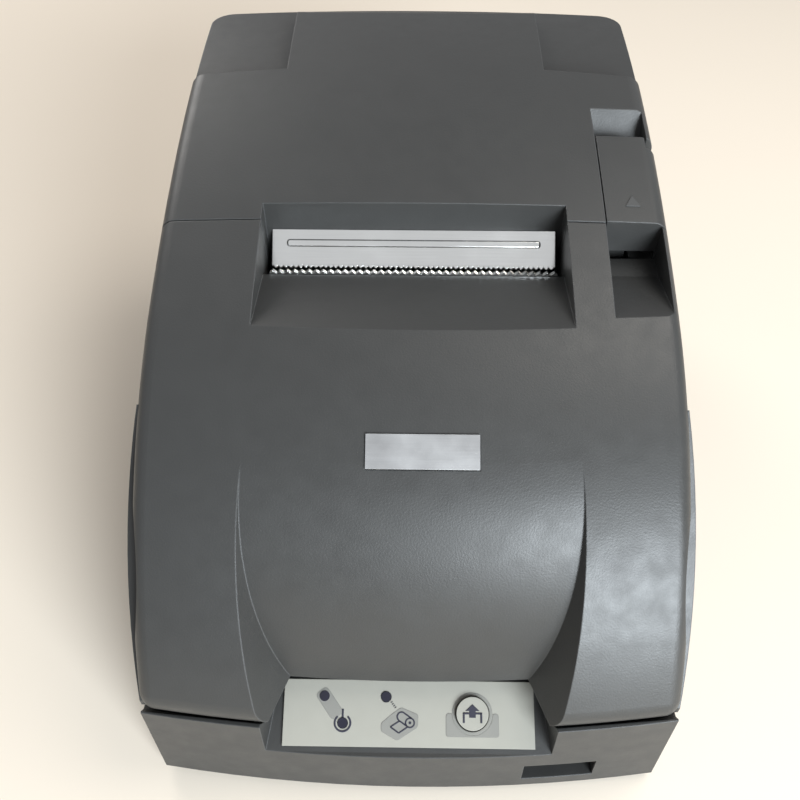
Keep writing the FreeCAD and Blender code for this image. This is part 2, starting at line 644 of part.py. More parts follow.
def sweep(name, side):
    """Room for the front cover's lip to turn: a cone about the hinge line."""
    room = "(cover_half * cover_half - 1296) / 2 / plan_radius"
    made = doc.addObject("Part::Cone", name)
    made.Placement = FreeCAD.Placement(Vector(), Rotation(Vector(0, 1, 0), 90 * side))
    return bind(made, Radius1=f"lip_radius + {room} + seam_gap", Radius2="lip_radius + seam_gap + 0.1",
                Height="cover_half - 36 + 8", Placement__Base__x=f"{side} * 36",
                Placement__Base__y="turn_y", Placement__Base__z="turn_z")


def notch(name):
    block = box(name + "_block", ("-bump_half - 0.7", "bump_half + 0.7"), ("shelf_y - 40", "hinge_y"),
                ("skirt_z - 10", high_z))
    barrel = rod(name + "_barrel", "x", "hinge_drop + 1", ("hinge_y", "hinge_z"),
                 ("-bump_half - 0.7", "bump_half + 0.7"))
    return fuse(name, block, barrel)


case_hollow = cut("case_hollow", common("case_inner", case_form("case_within", "wall", "base_z - 1"),
                                        plan_inner), panel_pocket("pocket_wall", "wall"),
                  switch_well("switch_wall", "wall"))
window_cut = box("window_cut", ("-62", "-4"), ("rear_y - 14", "rear_y + 5"), ("16", "46"))
socket_cut = box("socket_cut", ("3", "38.4"), ("rear_y - 14", "rear_y + 5"), ("floor_top + 9", "31"))
rocker_cut = box("rocker_cut", ("switch_x - 8.6", "switch_x + 8.6"), ("front_y", "front_y + 16"),
                 ("switch_z - 3.9", "switch_z + 3.9"))
lens_bores = [panel_rod(f"lens_bore_{name}", "lens_radius + 0.1", spot, ("-6", "4"))
              for name, spot in LAMPS.items()]
button_bore = panel_rod("button_bore", "button_radius + button_clear", BUTTON, ("-6", "4"))
rear_ears = [box(f"rear_ear_{side}", span, ("hinge_y - 5", "rear_y - 3.5"), ("hinge_z - 6", "hinge_z + 6"))
             for side, span in (("right", ("bump_half + 1.5", "bump_half + 6")),
                                ("left", ("-bump_half - 6", "-bump_half - 1.5")))]
BOSSES = [("70.2", "front_y + 34"), ("-70.2", "front_y + 34"), ("70.2", "rear_y - 34"),
          ("-70.2", "rear_y - 34")]
bosses = [rod(f"boss_{i}", "z", "4.6", spot, ("floor_top", "floor_top + 12")) for i,
          spot in enumerate(BOSSES)]
boss_bores = [rod(f"boss_bore_{i}", "z", "1.25", spot, ("floor_top - 1", "floor_top + 9"))
              for i, spot in enumerate(BOSSES)]
posts = [panel_rod(f"panel_post_{i}", "2", (place, "11"), ("-8", "-2"))
         for i, place in enumerate(("-31", "31"))]
shelf_above = box("shelf_above", ("-tab_half - 5", "tab_half + 5"), ("seam_y - 60", "rear_y"),
                  ("skirt_z - seam_gap", high_z))
shelf_room = common("shelf_room", shelf_above, drum("drum_case", "-shelf_gap", "skirt_z - 5", high_z))
sweeps = [sweep("sweep_right", 1), sweep("sweep_left", -1)]
case_shell = cut("case_shell", case_block, case_hollow, shelf_room, notch("bump_notch"), *sweeps,
                 panel_pocket("pocket_cut", "0"), switch_well("switch_cut", "0"))
case_cheeks = cut("case_cheeks", common("cheeks_low", cheeks, case_zone), *sweeps)
case_whole = fuse("case_whole", case_shell, case_cheeks, *rear_ears, *bosses, *posts)
rear_pins = [rod(f"rear_pin_{side}", "x", "hinge_pin_radius", ("hinge_y", "hinge_z"), span)
             for side, span in (("right", ("bump_half - 6", "bump_half + 6")),
                                ("left", ("-bump_half - 6", "6 - bump_half")))]
main_case = cut("main_case", case_whole, window_cut, socket_cut, rocker_cut, button_bore, *lens_bores,
                *boss_bores, *rear_pins)
node(main_case, "main_case")
node(group("rear_hinge_pins", *rear_pins), "rear_hinge_pins")

# Bottom plate with screws and feet.
bottom_form = common("bottom_form", case_form("bottom_face", "wall + fit_gap", "base_z"),
                     plan("bottom_plan", "wall + fit_gap", "base_z", "floor_top"))
screw_bores = [rod(f"screw_bore_{i}", "z", "1.7", spot, ("base_z - 1", "floor_top + 1"))
               for i, spot in enumerate(BOSSES)]
node(cut("bottom_plate", bottom_form, *screw_bores), "bottom_plate")
screws = [fuse(f"screw_{i}", rod(f"screw_head_{i}", "z", "2.8", spot, ("base_z - 1.2", "base_z")),
               rod(f"screw_shank_{i}", "z", "1.2", spot, ("base_z - 0.2", "floor_top + 7")))
          for i, spot in enumerate(BOSSES)]
node(group("case_screws", *screws), "case_screws")
FEET = [("58", "front_y + 18"), ("-58", "front_y + 18"), ("58", "rear_y - 18"), ("-58", "rear_y - 18")]
node(group("rubber_feet", *[rod(f"foot_{i}", "z", "6.5", spot, ("0", "foot_height"), "7.5")
                            for i, spot in enumerate(FEET)]), "rubber_feet")

# Front hinge: brackets that reach the hinge line from behind, and their pins.
hinge_arms = []
hinge_pins = []
for side, inner, outer, tip in (("right", "57", "61", "53"), ("left", "-61", "-57", "-53")):
    post = box(f"hinge_post_{side}", (inner, outer), ("turn_y + 14", "turn_y + 22"),
               ("floor_top", "turn_z + 5"))
    arm = box(f"hinge_arm_{side}", (inner, outer), ("turn_y", "turn_y + 15"), ("turn_z - 4", "turn_z + 4"))
    eye = rod(f"hinge_eye_{side}", "x", "4", ("turn_y", "turn_z"), (inner, outer))
    foot = box(f"hinge_foot_{side}", (f"{inner} - 3", f"{outer} + 3"), ("turn_y + 12", "turn_y + 26"),
               ("floor_top", "floor_top + 2"))
    span = (tip, outer) if side == "right" else (inner, tip)
    pin = rod(f"hinge_pin_{side}", "x", "hinge_pin_radius", ("turn_y", "turn_z"), span)
    hinge_arms.append(cut(f"hinge_bracket_{side}", fuse(f"hinge_whole_{side}", post, arm, eye, foot), pin))
    hinge_pins.append(pin)
node(group("front_hinge_brackets", *hinge_arms), "front_hinge_brackets")
node(group("front_hinge_pins", *hinge_pins), "front_hinge_pins")

# Panel overlay, lamps, feed button and its board.
overlay = panel_box("overlay_sheet", ("-overlay_width / 2", "overlay_width / 2"),
                    ("1.5", "1.5 + overlay_length"), ("0", "overlay_thick"))
node(cut("panel_overlay", overlay, button_bore, *lens_bores), "panel_overlay")
node(group("lamp_lenses", *[panel_rod(f"lens_{name}", "lens_radius", spot, ("-8", "overlay_thick + 0.3"))
                            for name, spot in LAMPS.items()]), "lamp_lenses")
button_cap = panel_rod("button_cap", "button_radius", BUTTON, ("-3.4", "button_height - 3"))
button_brim = panel_rod("button_brim", "button_radius + 1.2", BUTTON, ("-4.4", "-3.3"))
node(fuse("feed_button", button_cap, button_brim), "feed_button")
board = panel_box("panel_sheet", ("-34", "switch_x - switch_width / 2 - wall - fit_gap"), ("3", "20"),
                  ("-8 - board_thick", "-8"))
tact = panel_box("tact_switch", ("button_x - 3", "button_x + 3"), ("8.2", "14.2"),
                 ("-8", "-4.4 - button_stroke - 0.3"))
node(fuse("panel_board", board, tact), "panel_board")

# Power switch: housing behind the recess and a rocker resting with its left side in.
rocker_turn = 8
switch_y = f"({switch_back} + wall + 3)"
housing = box("switch_block", ("switch_x - 10", "switch_x + 10"),
              (f"{switch_back} + wall", f"{switch_back} + wall + 14"), ("switch_z - 5", "switch_z + 5"))
cavity = box("switch_cavity", ("switch_x - 8.6", "switch_x + 8.6"),
             (f"{switch_back} + wall - 1", f"{switch_back} + wall + 7"),
             ("switch_z - 3.9", "switch_z + 3.9"))
node(cut("switch_body", housing, cavity), "switch_body")
rocker = doc.addObject("Part::Box", "rocker_block")
rocker.Placement = FreeCAD.Placement(Vector(), Rotation(Vector(0, 0, 1), -rocker_turn))
half_rocker = "(rocker_width / 2 - 1)"
bind(rocker, Length="rocker_width - 2", Width="10", Height="rocker_height - 0.2",
     Placement__Base__x=f"switch_x - {half_rocker} * cos({rocker_turn}) - 7.5 * sin({rocker_turn})",
     Placement__Base__y=f"{switch_y} + {half_rocker} * sin({rocker_turn}) - 7.5 * cos({rocker_turn})",
     Placement__Base__z="switch_z - (rocker_height - 0.2) / 2")
node(rocker, "power_rocker")

# Boards and rear connectors.
node(fuse("main_board", box("board_sheet", ("-38", "38"), ("seam_y + 16", "rear_y - 8.2"),
                            ("board_z", "board_z + board_thick")),
          *[box(f"chip_{i}", (x, f"{x} + 12"), (y, f"{y} + 12"),
                ("board_z + board_thick", "board_z + board_thick + 2"))
            for i, (x, y) in enumerate((("-30", "30"), ("-8", "50"), ("12", "28"), ("-26", "76")))]),
            "main_board")
STAND = [("33", "seam_y + 22"), ("-33", "seam_y + 22"), ("33", "rear_y - 30"), ("-33", "rear_y - 30")]
node(group("board_standoffs", *[rod(f"standoff_{i}", "z", "3", spot, ("floor_top", "board_z"))
                                for i, spot in enumerate(STAND)]), "board_standoffs")
plate_back = "rear_y - 6.4"
plate_sheet = box("plate_sheet", ("-66", "-1"), (f"{plate_back} - sheet", plate_back),
                  ("floor_top + 1", "50"))
jack_spots = [("-33 - 23.52", "31"), ("-33 + 23.52", "31")]
plug_room = box("plug_room", ("-33 - 20", "-33 + 20"), ("rear_y - 20", "rear_y"), ("26", "36"))
jack_bores = [rod(f"jack_bore_{i}", "y", "1.42", spot, ("rear_y - 22", "rear_y + 1"))
              for i, spot in enumerate(jack_spots)]
node(cut("connector_plate", plate_sheet, plug_room, *jack_bores), "connector_plate")
shell_points = [("-33 - 19.5", "35.2"), ("-33 - 18", "26.8"), ("-33 + 18", "26.8"), ("-33 + 19.5", "35.2")]
flange = box("port_flange", ("-33 - 26.5", "-33 + 26.5"), (plate_back, f"{plate_back} + 0.9"),
             ("31 - 6.2", "31 + 6.2"))
nose = pad("port_nose", "y", shell_points, (f"{plate_back} - 10", "rear_y - 1.2"))
node(cut("data_port", fuse("port_whole", flange, nose), *jack_bores), "data_port")
node(group("jack_screws", *[cut(f"jack_screw_{i}", rod(f"jack_hex_{i}", "y", "2.6", spot,
                                (f"{plate_back} + 0.9", "rear_y - 1.4")), jack_bores[i])
                            for i, spot in enumerate(jack_spots)]), "jack_screws")
node(box("interface_board", ("-62", "-6"), ("rear_y - 40", f"{plate_back} - sheet"),
         ("20", "20 + board_thick")),
     "interface_board")
on_board = "board_z + board_thick"
jack_block = box("drawer_block", ("22", "37.6"), ("rear_y - 24", "rear_y - 4"),
                 (on_board, f"{on_board} + 15"))
jack_hole = box("drawer_hole", ("25", "34.6"), ("rear_y - 16", "rear_y"),
                (f"{on_board} + 4", f"{on_board} + 11"))
node(cut("drawer_socket", jack_block, jack_hole), "drawer_socket")
inlet_block = box("inlet_block", ("4", "19.6"), ("rear_y - 22", "rear_y - 3.4"),
                  (on_board, f"{on_board} + 15"))
inlet_hole = rod("inlet_hole", "y", "5.5", ("11.8", f"{on_board} + 7.6"), ("rear_y - 14", "rear_y"))
node(cut("power_inlet", inlet_block, inlet_hole), "power_inlet")

# Paper roll bucket on two end walls.
trough = rod("trough_outer", "x", "bucket_radius + 2", ("bucket_y", "bucket_z"),
             ("-bucket_half - 2", "bucket_half + 2"))
front_wall = box("trough_front", ("-bucket_half - 2", "bucket_half + 2"),
                 ("bucket_y - bucket_radius - 2", "bucket_y - bucket_radius"),
                 ("bucket_z - 1", "bucket_z + 2"))
rear_wall = box("trough_rear", ("-bucket_half - 2", "bucket_half + 2"),
                ("bucket_y + bucket_radius", "bucket_y + bucket_radius + 2"),
                ("bucket_z - 1", "bucket_z + 22"))
trough_room = rod("trough_inner", "x", "bucket_radius", ("bucket_y", "bucket_z"),
                  ("-bucket_half", "bucket_half"))
trough_top = box("trough_top", ("-80", "80"), ("bucket_y - 60", "bucket_y + 60"), ("bucket_z", high_z))
legs = [box(f"bucket_leg_{side}", span, ("bucket_y - 14", "bucket_y + 14"),
            ("floor_top", "bucket_z - bucket_radius + 6"))
        for side, span in (("right", ("bucket_half", "bucket_half + 2")),
                           ("left", ("-bucket_half - 2", "-bucket_half")))]
trough_shell = cut("trough_shell", trough, trough_room, trough_top)
node(fuse("roll_bucket", trough_shell, front_wall, rear_wall, *legs), "roll_bucket")

# Print frame: two side plates joined by a deck and a rear rail.
cheek_points = [("-frame_front", "floor_top"), ("frame_rear", "floor_top"), ("frame_rear", "feed_z + 10"),
                ("-frame_front + 44", "feed_z + 10"), ("-frame_front", "turn_z + 32")]
shaft_bore = rod("shaft_bore", "x", "shaft_radius + shaft_clear", ("feed_y", "feed_z"), ("-90", "90"))
idler_pin = rod("idler_pin", "x", "2", ("feed_y", "idler_z"),
                ("frame_half - sheet", "gear_inner + gear_width + 1"))
motor_bore = rod("motor_bore", "x", "5", ("feed_y", "pinion_z"), ("frame_half - 3", "frame_half + 3"))
rods = [rod(f"rod_{i}", "x", "rod_radius", spot, ("-frame_half - 1.5", "frame_half + 1.5"))
        for i, spot in enumerate((("-26", "print_z - 16"), ("-46", "print_z - 16")))]
latch_pin = rod("latch_bar", "x", "1.4", ("seam_y + 11.8", "lever_well_z - 8"),
                ("lever_x + 2", "frame_half"))
sides = [pad(f"side_{side}", "x", cheek_points, span) for side, span in
         (("right", ("frame_half - sheet", "frame_half")),
          ("left", ("-frame_half", "-frame_half + sheet")))]
tab = box("latch_tab", ("frame_half - sheet", "frame_half"), ("frame_rear - 2", "seam_y + 16"),
          ("lever_well_z - 14", "lever_well_z - 5"))
deck = box("deck", ("-frame_half", "frame_half"), ("-frame_front + 2", "-4"), ("deck_z", "deck_z + sheet"))
rail = box("rail", ("-frame_half", "frame_half"), ("frame_rear - 4", "frame_rear - 4 + sheet"),
           ("50", "print_z + 9"))
frame_whole = fuse("frame_whole", sides[0], sides[1], tab, deck, rail)
node(cut("print_frame", frame_whole, shaft_bore, idler_pin, motor_bore, latch_pin, *rods), "print_frame")
node(group("carriage_rods", *rods), "carriage_rods")
node(latch_pin, "latch_pin")
node(idler_pin, "idler_pin")
node(box("platen", ("-42", "42"), ("paper_y + 0.4", "frame_rear - 4"), ("print_z - 9", "print_z + 9")),
     "platen")


# Feed rollers, gears and motor.
def gear(name, teeth, spot, start, bore, tooth_up):
    """Spur gear on the X axis with involute flanks; tooth_up puts a tooth at the top."""
    module, count = value("gear_module"), int(value(teeth))
    pitch = module * count / 2
    base = pitch * cos(radians(20))
    tip, root = pitch + 0.9 * module, pitch - 1.15 * module
    slack = 0.09 * module
    half = pi / count / 2 - slack / pitch / 2 + tan(radians(20)) - radians(20)

    def flank(radius):
        turn = sqrt(max(radius * radius / base / base - 1, 0))
        return half - (turn - atan2(turn, 1))
    low = max(base, root)
    rises = [low + (tip - low) * k / 4 for k in range(5)]
    wire = []
    for index in range(count):
        mid = pi / 2 + 2 * pi * (index + (0 if tooth_up else 0.5)) / count
        ring = [(root, -flank(low))] + [(r, -flank(r)) for r in rises]
        ring += [(r, flank(r)) for r in reversed(rises)] + [(root, flank(low))]
        wire += [Vector(0, r * cos(mid + turn), r * sin(mid + turn)) for r, turn in ring]
    face = Part.Face(Part.makePolygon(wire + wire[:1]))
    solid = face.extrude(Vector(value("gear_width"), 0, 0))
    hole = Part.makeCylinder(value(bore), value("gear_width") + 2, Vector(-1, 0, 0), Vector(1, 0, 0))
    made = doc.addObject("Part::Feature", name)
    made.Shape = solid.cut(hole)
    made.Placement = FreeCAD.Placement(Vector(), Rotation())
    return bind(made, Placement__Base__x=start, Placement__Base__y=spot[0], Placement__Base__z=spot[1])


feed_spot = ("feed_y", "feed_z")
shaft = rod("feed_shaft_rod", "x", "shaft_radius", feed_spot,
            ("-frame_half - 3", "gear_inner + gear_width + 0.8"))
node(shaft, "feed_shaft")
node(group("feed_rollers", *[cut(f"feed_roller_{i}", rod(f"feed_tyre_{i}", "x", "feed_radius", feed_spot,
                                 (f"{x} - 9", f"{x} + 9")), shaft) for i, x in enumerate(("-24", "24"))]),
                                 "feed_rollers")
node(gear("feed_gear", "roller_teeth", feed_spot, "gear_inner", "shaft_radius", True), "feed_gear")
node(gear("idler_gear", "idler_teeth", ("feed_y", "idler_z"), "gear_inner", "2 + shaft_clear", False),
     "idler_gear")
node(gear("motor_pinion", "pinion_teeth", ("feed_y", "pinion_z"), "gear_inner", "motor_shaft", True),
     "motor_pinion")
motor_spot = ("feed_y", "pinion_z")
feed_can = rod("feed_can", "x", "motor_radius - 4", motor_spot,
               ("frame_half - sheet - motor_length", "frame_half - sheet"))
feed_hole = rod("feed_hole", "x", "motor_shaft + shaft_clear", motor_spot,
                ("frame_half - 16", "frame_half"))
node(cut("feed_motor", feed_can, feed_hole), "feed_motor")
node(rod("feed_motor_shaft", "x", "motor_shaft", motor_spot,
         ("frame_half - 14", "gear_inner + gear_width + 0.6")),
     "feed_motor_shaft")
pinch_spot = ("pinch_y", "feed_z")
pinch = rod("pinch_rod", "x", "shaft_radius - 1", pinch_spot, ("1.2 - exit_half", "exit_half - 1.2"))
node(pinch, "pinch_shaft")
node(group("pinch_rollers", *[cut(f"pinch_roller_{i}",
                                  rod(f"pinch_tyre_{i}", "x", "pinch_radius", pinch_spot,
                                  (f"{x} - 8", f"{x} + 8")), pinch) for i, x in enumerate(("-24", "24"))]),
                                  "pinch_rollers")

# Carriage on its rods, with print head, belt and pulleys.
head_y, head_z = "paper_y - 1.3", "print_z"
slide_block = box("slide_block", ("-14", "14"), ("-51", "-20"), ("print_z - 22", "print_z - 10"))
rod_bores = [rod(f"rod_bore_{i}", "x", "rod_radius + rod_clear", spot, ("-20", "20"))
             for i, spot in enumerate((("-26", "print_z - 16"), ("-46", "print_z - 16")))]
cradle = box("cradle", ("-10", "10"), ("-35", "-21"), ("print_z - 11", "print_z - 9"))
clamp = box("belt_clamp", ("-6", "6"), ("-pulley_y + pulley_radius + 1.2", "-pulley_y + pulley_radius + 4"),
            ("pulley_z - 4", "print_z - 21"))
node(cut("carriage", fuse("carriage_whole", slide_block, cradle, clamp), *rod_bores), "carriage")
head_can = rod("head_can", "y", "9", ("0", head_z), ("-34", "-20"))
head_nose = rod("head_nose", "y", "8", ("0", head_z), ("-20.5", head_y), "3")
fins = [rod(f"head_fin_{i}", "y", "11", ("0", head_z), (f"-32.5 + {4 * i}", f"-31 + {4 * i}"))
        for i in range(3)]
head_trim = box("head_trim", ("-20", "20"), ("-40", "0"), ("print_z - 30", "print_z - 9"))
node(cut("print_head", fuse("head_whole", head_can, head_nose, *fins), head_trim), "print_head")
left_pulley, right_pulley = ("-pulley_x", "-pulley_y"), ("pulley_x", "-pulley_y")
carriage_can = rod("carriage_can", "z", "motor_radius - 9", left_pulley, ("deck_z + sheet", "pulley_z - 4"))
carriage_hole = rod("carriage_hole", "z", "motor_shaft + shaft_clear", left_pulley,
                    ("pulley_z - 16", "pulley_z"))
node(cut("carriage_motor", carriage_can, carriage_hole), "carriage_motor")
spindle = rod("drive_spindle", "z", "motor_shaft", left_pulley, ("pulley_z - 14", "pulley_z + 4"))
node(fuse("drive_pulley", spindle, rod("drive_wheel", "z", "pulley_radius - fit_gap", left_pulley,
                                       ("pulley_z - 3", "pulley_z + 3"))), "drive_pulley")
idle_post = rod("idle_post", "z", "2", right_pulley, ("deck_z + sheet", "pulley_z + 5"))
node(idle_post, "idler_post")
node(cut("idler_pulley", rod("idle_wheel", "z", "pulley_radius - fit_gap", right_pulley,
                             ("pulley_z - 3", "pulley_z + 3")),
         rod("idle_bore", "z", "2 + shaft_clear", right_pulley, ("pulley_z - 5", "pulley_z + 6"))),
         "idler_pulley")


def loop(name, radius):
    low, high = "pulley_z - belt_height / 2", "pulley_z + belt_height / 2"
    return fuse(name, rod(name + "_left", "z", radius, left_pulley, (low, high)),
                rod(name + "_right", "z", radius, right_pulley, (low, high)),
                box(name + "_run", ("-pulley_x", "pulley_x"),
                    (f"-pulley_y - ({radius})", f"-pulley_y + ({radius})"),
                    (low, high)))


node(cut("timing_belt", loop("belt_outer", "pulley_radius + belt_thick"),
         loop("belt_inner", "pulley_radius")),
     "timing_belt")

# Ribbon cassette with arms that hold the ribbon across the platen, and its drive spindle.
case_body = box("ribbon_body", ("-64", "64"), ("-82", "-53"), ("print_z - 4", "print_z + 9"))
ribbon_arms = [box(f"ribbon_arm_{side}", span, ("-54", "paper_y - 1.2"), ("print_z - 7", "print_z + 7"))
               for side, span in (("right", ("54", "64")), ("left", ("-64", "-54")))]
spindle_bore = rod("spindle_bore", "z", "4", ("-44", "-70"), ("print_z - 10", "print_z + 12"))
node(cut("ribbon_cassette", fuse("ribbon_whole", case_body, *ribbon_arms), spindle_bore), "ribbon_cassette")
node(box("ink_ribbon", ("-54", "54"), ("paper_y - 1", "paper_y - 0.75"), ("print_z - 6", "print_z + 6")),
     "ink_ribbon")
ribbon_post = rod("ribbon_post", "z", "3.6", ("-44", "-70"), ("deck_z + sheet + 0.3", "print_z + 9"))
knob = rod("ribbon_knob_disc", "z", "7", ("-44", "-70"), ("print_z + 9.4", "print_z + 12"))
node(fuse("ribbon_knob", ribbon_post, knob), "ribbon_knob")


# Tear edges at the paper exit.
tear_half = "(exit_half - 2)"
tear_y = "seam_y - exit_lip + 0.2"
bar_flat = box("bar_flat", ("-frame_half", "frame_half"), (f"{tear_y} - 14", f"{tear_y} + plate_thick"),
               ("feed_z + 10", "feed_z + 10 + plate_thick"))
count = int(value("tear_teeth"))
tear_wide = value(tear_half)
rise, peak = value("exit_floor_z + 0.2"), value("exit_floor_z + 1.2")
comb = [Vector(-tear_wide, value(tear_y), value("feed_z + 10"))]
for index in range(count):
    comb.append(Vector(-tear_wide + 2 * tear_wide * index / count, value(tear_y), rise))
    comb.append(Vector(-tear_wide + 2 * tear_wide * (index + 0.5) / count, value(tear_y), peak))
comb += [Vector(tear_wide, value(tear_y), rise), Vector(tear_wide, value(tear_y), value("feed_z + 10"))]
bar_comb = doc.addObject("Part::Feature", "bar_comb")
bar_comb.Shape = Part.Face(Part.makePolygon(comb + comb[:1])).extrude(Vector(0, value("plate_thick"), 0))
node(fuse("front_tear_bar", bar_flat, bar_comb), "front_tear_bar")
back_y = "seam_y + exit_rear - 0.1"
low_y = f"({tear_y} + plate_thick + 5)"
guide = pad("guide_plate", "x", [
    (back_y, "exit_floor_z + 5.6"), (back_y, "exit_floor_z + 4.2"),
    (f"{low_y} + 1.3", "exit_floor_z - 2.2"),
    (f"{low_y} + 1.3", "exit_floor_z - 6"), (low_y, "exit_floor_z - 6"), (low_y, "exit_floor_z - 1.6"),
], (f"-{tear_half}", tear_half))
stay = box("guide_stay", (f"-{tear_half} + 4", f"{tear_half} - 4"), (f"{low_y} + 1", back_y),
           ("exit_floor_z - 6", "exit_floor_z - 5"))
node(fuse("paper_plate", guide, stay), "paper_plate")

doc.recompute()
for thing in doc.Objects:
    if "Invalid" in thing.State or "Error" in thing.State:
        raise RuntimeError(f"{thing.Name} did not build: {thing.State}")
for thing in nodes:
    shape = thing.Shape
    if shape.isNull() or not shape.isValid() or not shape.Solids:
        raise RuntimeError(f"{thing.Label} is not a sound solid")
    shape.exportStep(f"parts/{thing.Label}.step")
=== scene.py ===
"""Looks for a desktop receipt printer: finishes for its solids, panel print, marks and a studio."""

import json
import math

import bmesh
import bpy
from mathutils import Matrix, Vector


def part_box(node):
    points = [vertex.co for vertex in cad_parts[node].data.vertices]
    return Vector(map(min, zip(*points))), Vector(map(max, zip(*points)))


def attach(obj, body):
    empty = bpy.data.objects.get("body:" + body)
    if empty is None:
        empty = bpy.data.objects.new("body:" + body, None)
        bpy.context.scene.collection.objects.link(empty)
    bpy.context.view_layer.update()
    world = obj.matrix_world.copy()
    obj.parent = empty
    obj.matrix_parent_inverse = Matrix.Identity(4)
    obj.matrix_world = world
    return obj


bl_info = {
    "name": "Receipt printer looks",
    "version": (1, 0, 0),
    "blender": (4, 5, 0),
    "location": "View3D > Sidebar > Printer",
    "description": "Finishes, panel print and studio for a desktop receipt printer",
    "category": "Object",
}

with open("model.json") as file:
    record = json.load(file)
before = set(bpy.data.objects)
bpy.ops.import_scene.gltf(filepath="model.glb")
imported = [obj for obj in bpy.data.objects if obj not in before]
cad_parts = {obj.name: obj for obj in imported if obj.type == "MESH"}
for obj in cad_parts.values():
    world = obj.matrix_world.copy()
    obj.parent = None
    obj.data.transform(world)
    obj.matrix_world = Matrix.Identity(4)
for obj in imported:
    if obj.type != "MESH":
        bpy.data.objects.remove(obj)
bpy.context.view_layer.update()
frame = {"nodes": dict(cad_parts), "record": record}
MM = 0.001

# The panel sheet's own frame: across the printer, up the slope and square to it
PANEL_TILT = math.radians(22)
PANEL_EDGE = Vector((0, -121.8, 26)) * MM
PANEL_UP_SLOPE = Vector((0, math.cos(PANEL_TILT), math.sin(PANEL_TILT)))
PANEL_NORMAL = Vector((0, -math.sin(PANEL_TILT), math.cos(PANEL_TILT)))

# Sockets of a colour mix node, whose names are shared by the sockets for plain numbers
MIX_FACTOR = 0
MIX_FIRST = 6
MIX_SECOND = 7
MIX_RESULT = 2

# Part of a noise's range that is used, since it seldom reaches its ends
NOISE_LOW = 0.3
NOISE_HIGH = 0.7

# Cosine between the flat and the rounded normal where wear on an edge begins and where it is full
WEAR_BEGINS = 0.995
WEAR_FULL = 0.80

# Rounding of hard edges in the light: rays for it, and its radius as a share of the shell's
EDGE_SAMPLES = 4
PLASTIC_EDGE = 0.6
METAL_EDGE = 0.4

# Stretches that draw a noise out into lines
ALONG_X = (0.02, 1, 1)
ALONG_Y = (1, 0.02, 1)

# Ink ribbon: its colour, and how fine and how uneven its weave is
RIBBON_INK = (0.02, 0.01, 0.03)
WEAVE_SCALE = 900
WEAVE_WANDER = 1.5

# Meshes: points closer than this are one, and a rounded corner takes no more than this share of an edge
WELD = 1e-7
CORNER_SHARE = 0.49
CORNER_STEPS = 4

# Band from the upper left lamp towards the power sign: how far it stops short, and its corners
BAND_SHORT = 0.0022
BAND_CORNER = 0.0015

# Power sign: half of the gap in its ring, and the bar in the gap
POWER_GAP = math.radians(38)
POWER_BAR = ((0, 0.0016), (0, 0.0040))

# Grey patch behind the paper roll sign, seen at a slant
PATCH_CORNER = 0.0007
PATCH = (
    (-0.0056, -0.0002), (-0.0022, 0.0026), (0.0004, 0.0044), (0.0056, 0.0024),
    (0.0055, -0.0012), (-0.0007, -0.0051), (-0.0055, -0.0025),
)

# Paper roll sign: near and far end of the roll, its core, its two sides and its loose end
ROLL_LINE = 0.8
ROLL_RADIUS = 0.0013
ROLL_NEAR = (0.0031, 0.0000)
ROLL_FAR = (0.0006, 0.0017)
ROLL_FAR_START = math.radians(62)
ROLL_FAR_SWEEP = math.radians(170)
ROLL_CORE_RADIUS = 0.00022
ROLL_CORE_WIDTH = 0.0004
ROLL_SIDES = (
    ((0.0012, 0.00285), (0.0037, 0.00118)),
    ((-0.0001, 0.00056), (0.0022, -0.00095)),
)
LOOSE_END = ((0.0000, 0.0005), (-0.0027, -0.0012), (-0.0002, -0.0029), (0.0025, -0.0011))

# Row of short ticks from the paper lamp to the paper roll sign
TICKS = 4
TICK_LINE = 0.4
TICK_START = Vector((-0.0027, 0.0056))
TICK_STEP = Vector((0.0004, -0.0005))
TICK_REACH = Vector((0.0005, 0.0004))

# Ring round the feed button, and the plate below it, whose end points only set how its corners curve
SURROUND_RADIUS = 0.0056
SURROUND_WIDTH = 0.0009
SURROUND_CORNER = 0.0009
SURROUND_PLATE = (
    (-0.0063, 0.0003), (-0.0079, 0), (-0.0079, -0.0066), (0.0079, -0.0066), (0.0079, 0), (0.0063, 0.0003),
)
BITE_RADIUS = 0.0061
BITE_STEPS = 36

# Feed arrow, and the line that frames it on each side
ARROW = (
    (-0.00095, -0.0011), (0.00095, -0.0011), (0.00095, 0.0008), (0.0021, 0.0008),
    (0, 0.0027), (-0.0021, 0.0008), (-0.00095, 0.0008),
)
ARROW_FRAME_X = 0.0026
ARROW_FRAME_OUTER = 0.00285
ARROW_FRAME_INNER = 0.00095
ARROW_FRAME_TOP = 0.0001
ARROW_FRAME_FOOT = -0.0026

# Triangle on the lever: half width as a share of its height, thickness, corners and depth in the lever
LEVER_MARK_HALF = 0.55
LEVER_MARK_THICK = 0.00045
LEVER_MARK_CORNER = 0.0003
LEVER_MARK_CORNER_STEPS = 3
LEVER_MARK_SINK = 0.0002

# Bead of the paper plate: its place along the plate, depth in it, and shares of its half width and height
BEAD_PLACE = 0.62
BEAD_SINK = 0.0001
BEAD_END = 0.98
BEAD_END_STEPS = 10
BEAD_TOP = 0.9
BEAD_INSET = 0.45
BEAD_DROP = 0.6

# Teeth of the paper plate: what counts as its face, bare ends, root, thickness and depth
COMB_FACE = 0.0001
COMB_END = 0.0004
COMB_ROOT = 0.0003
COMB_THICK = 0.0005
COMB_SINK = 0.00046

# Height above the printer from which a point on top of a solid is sought
SEEK_HEIGHT = 0.2

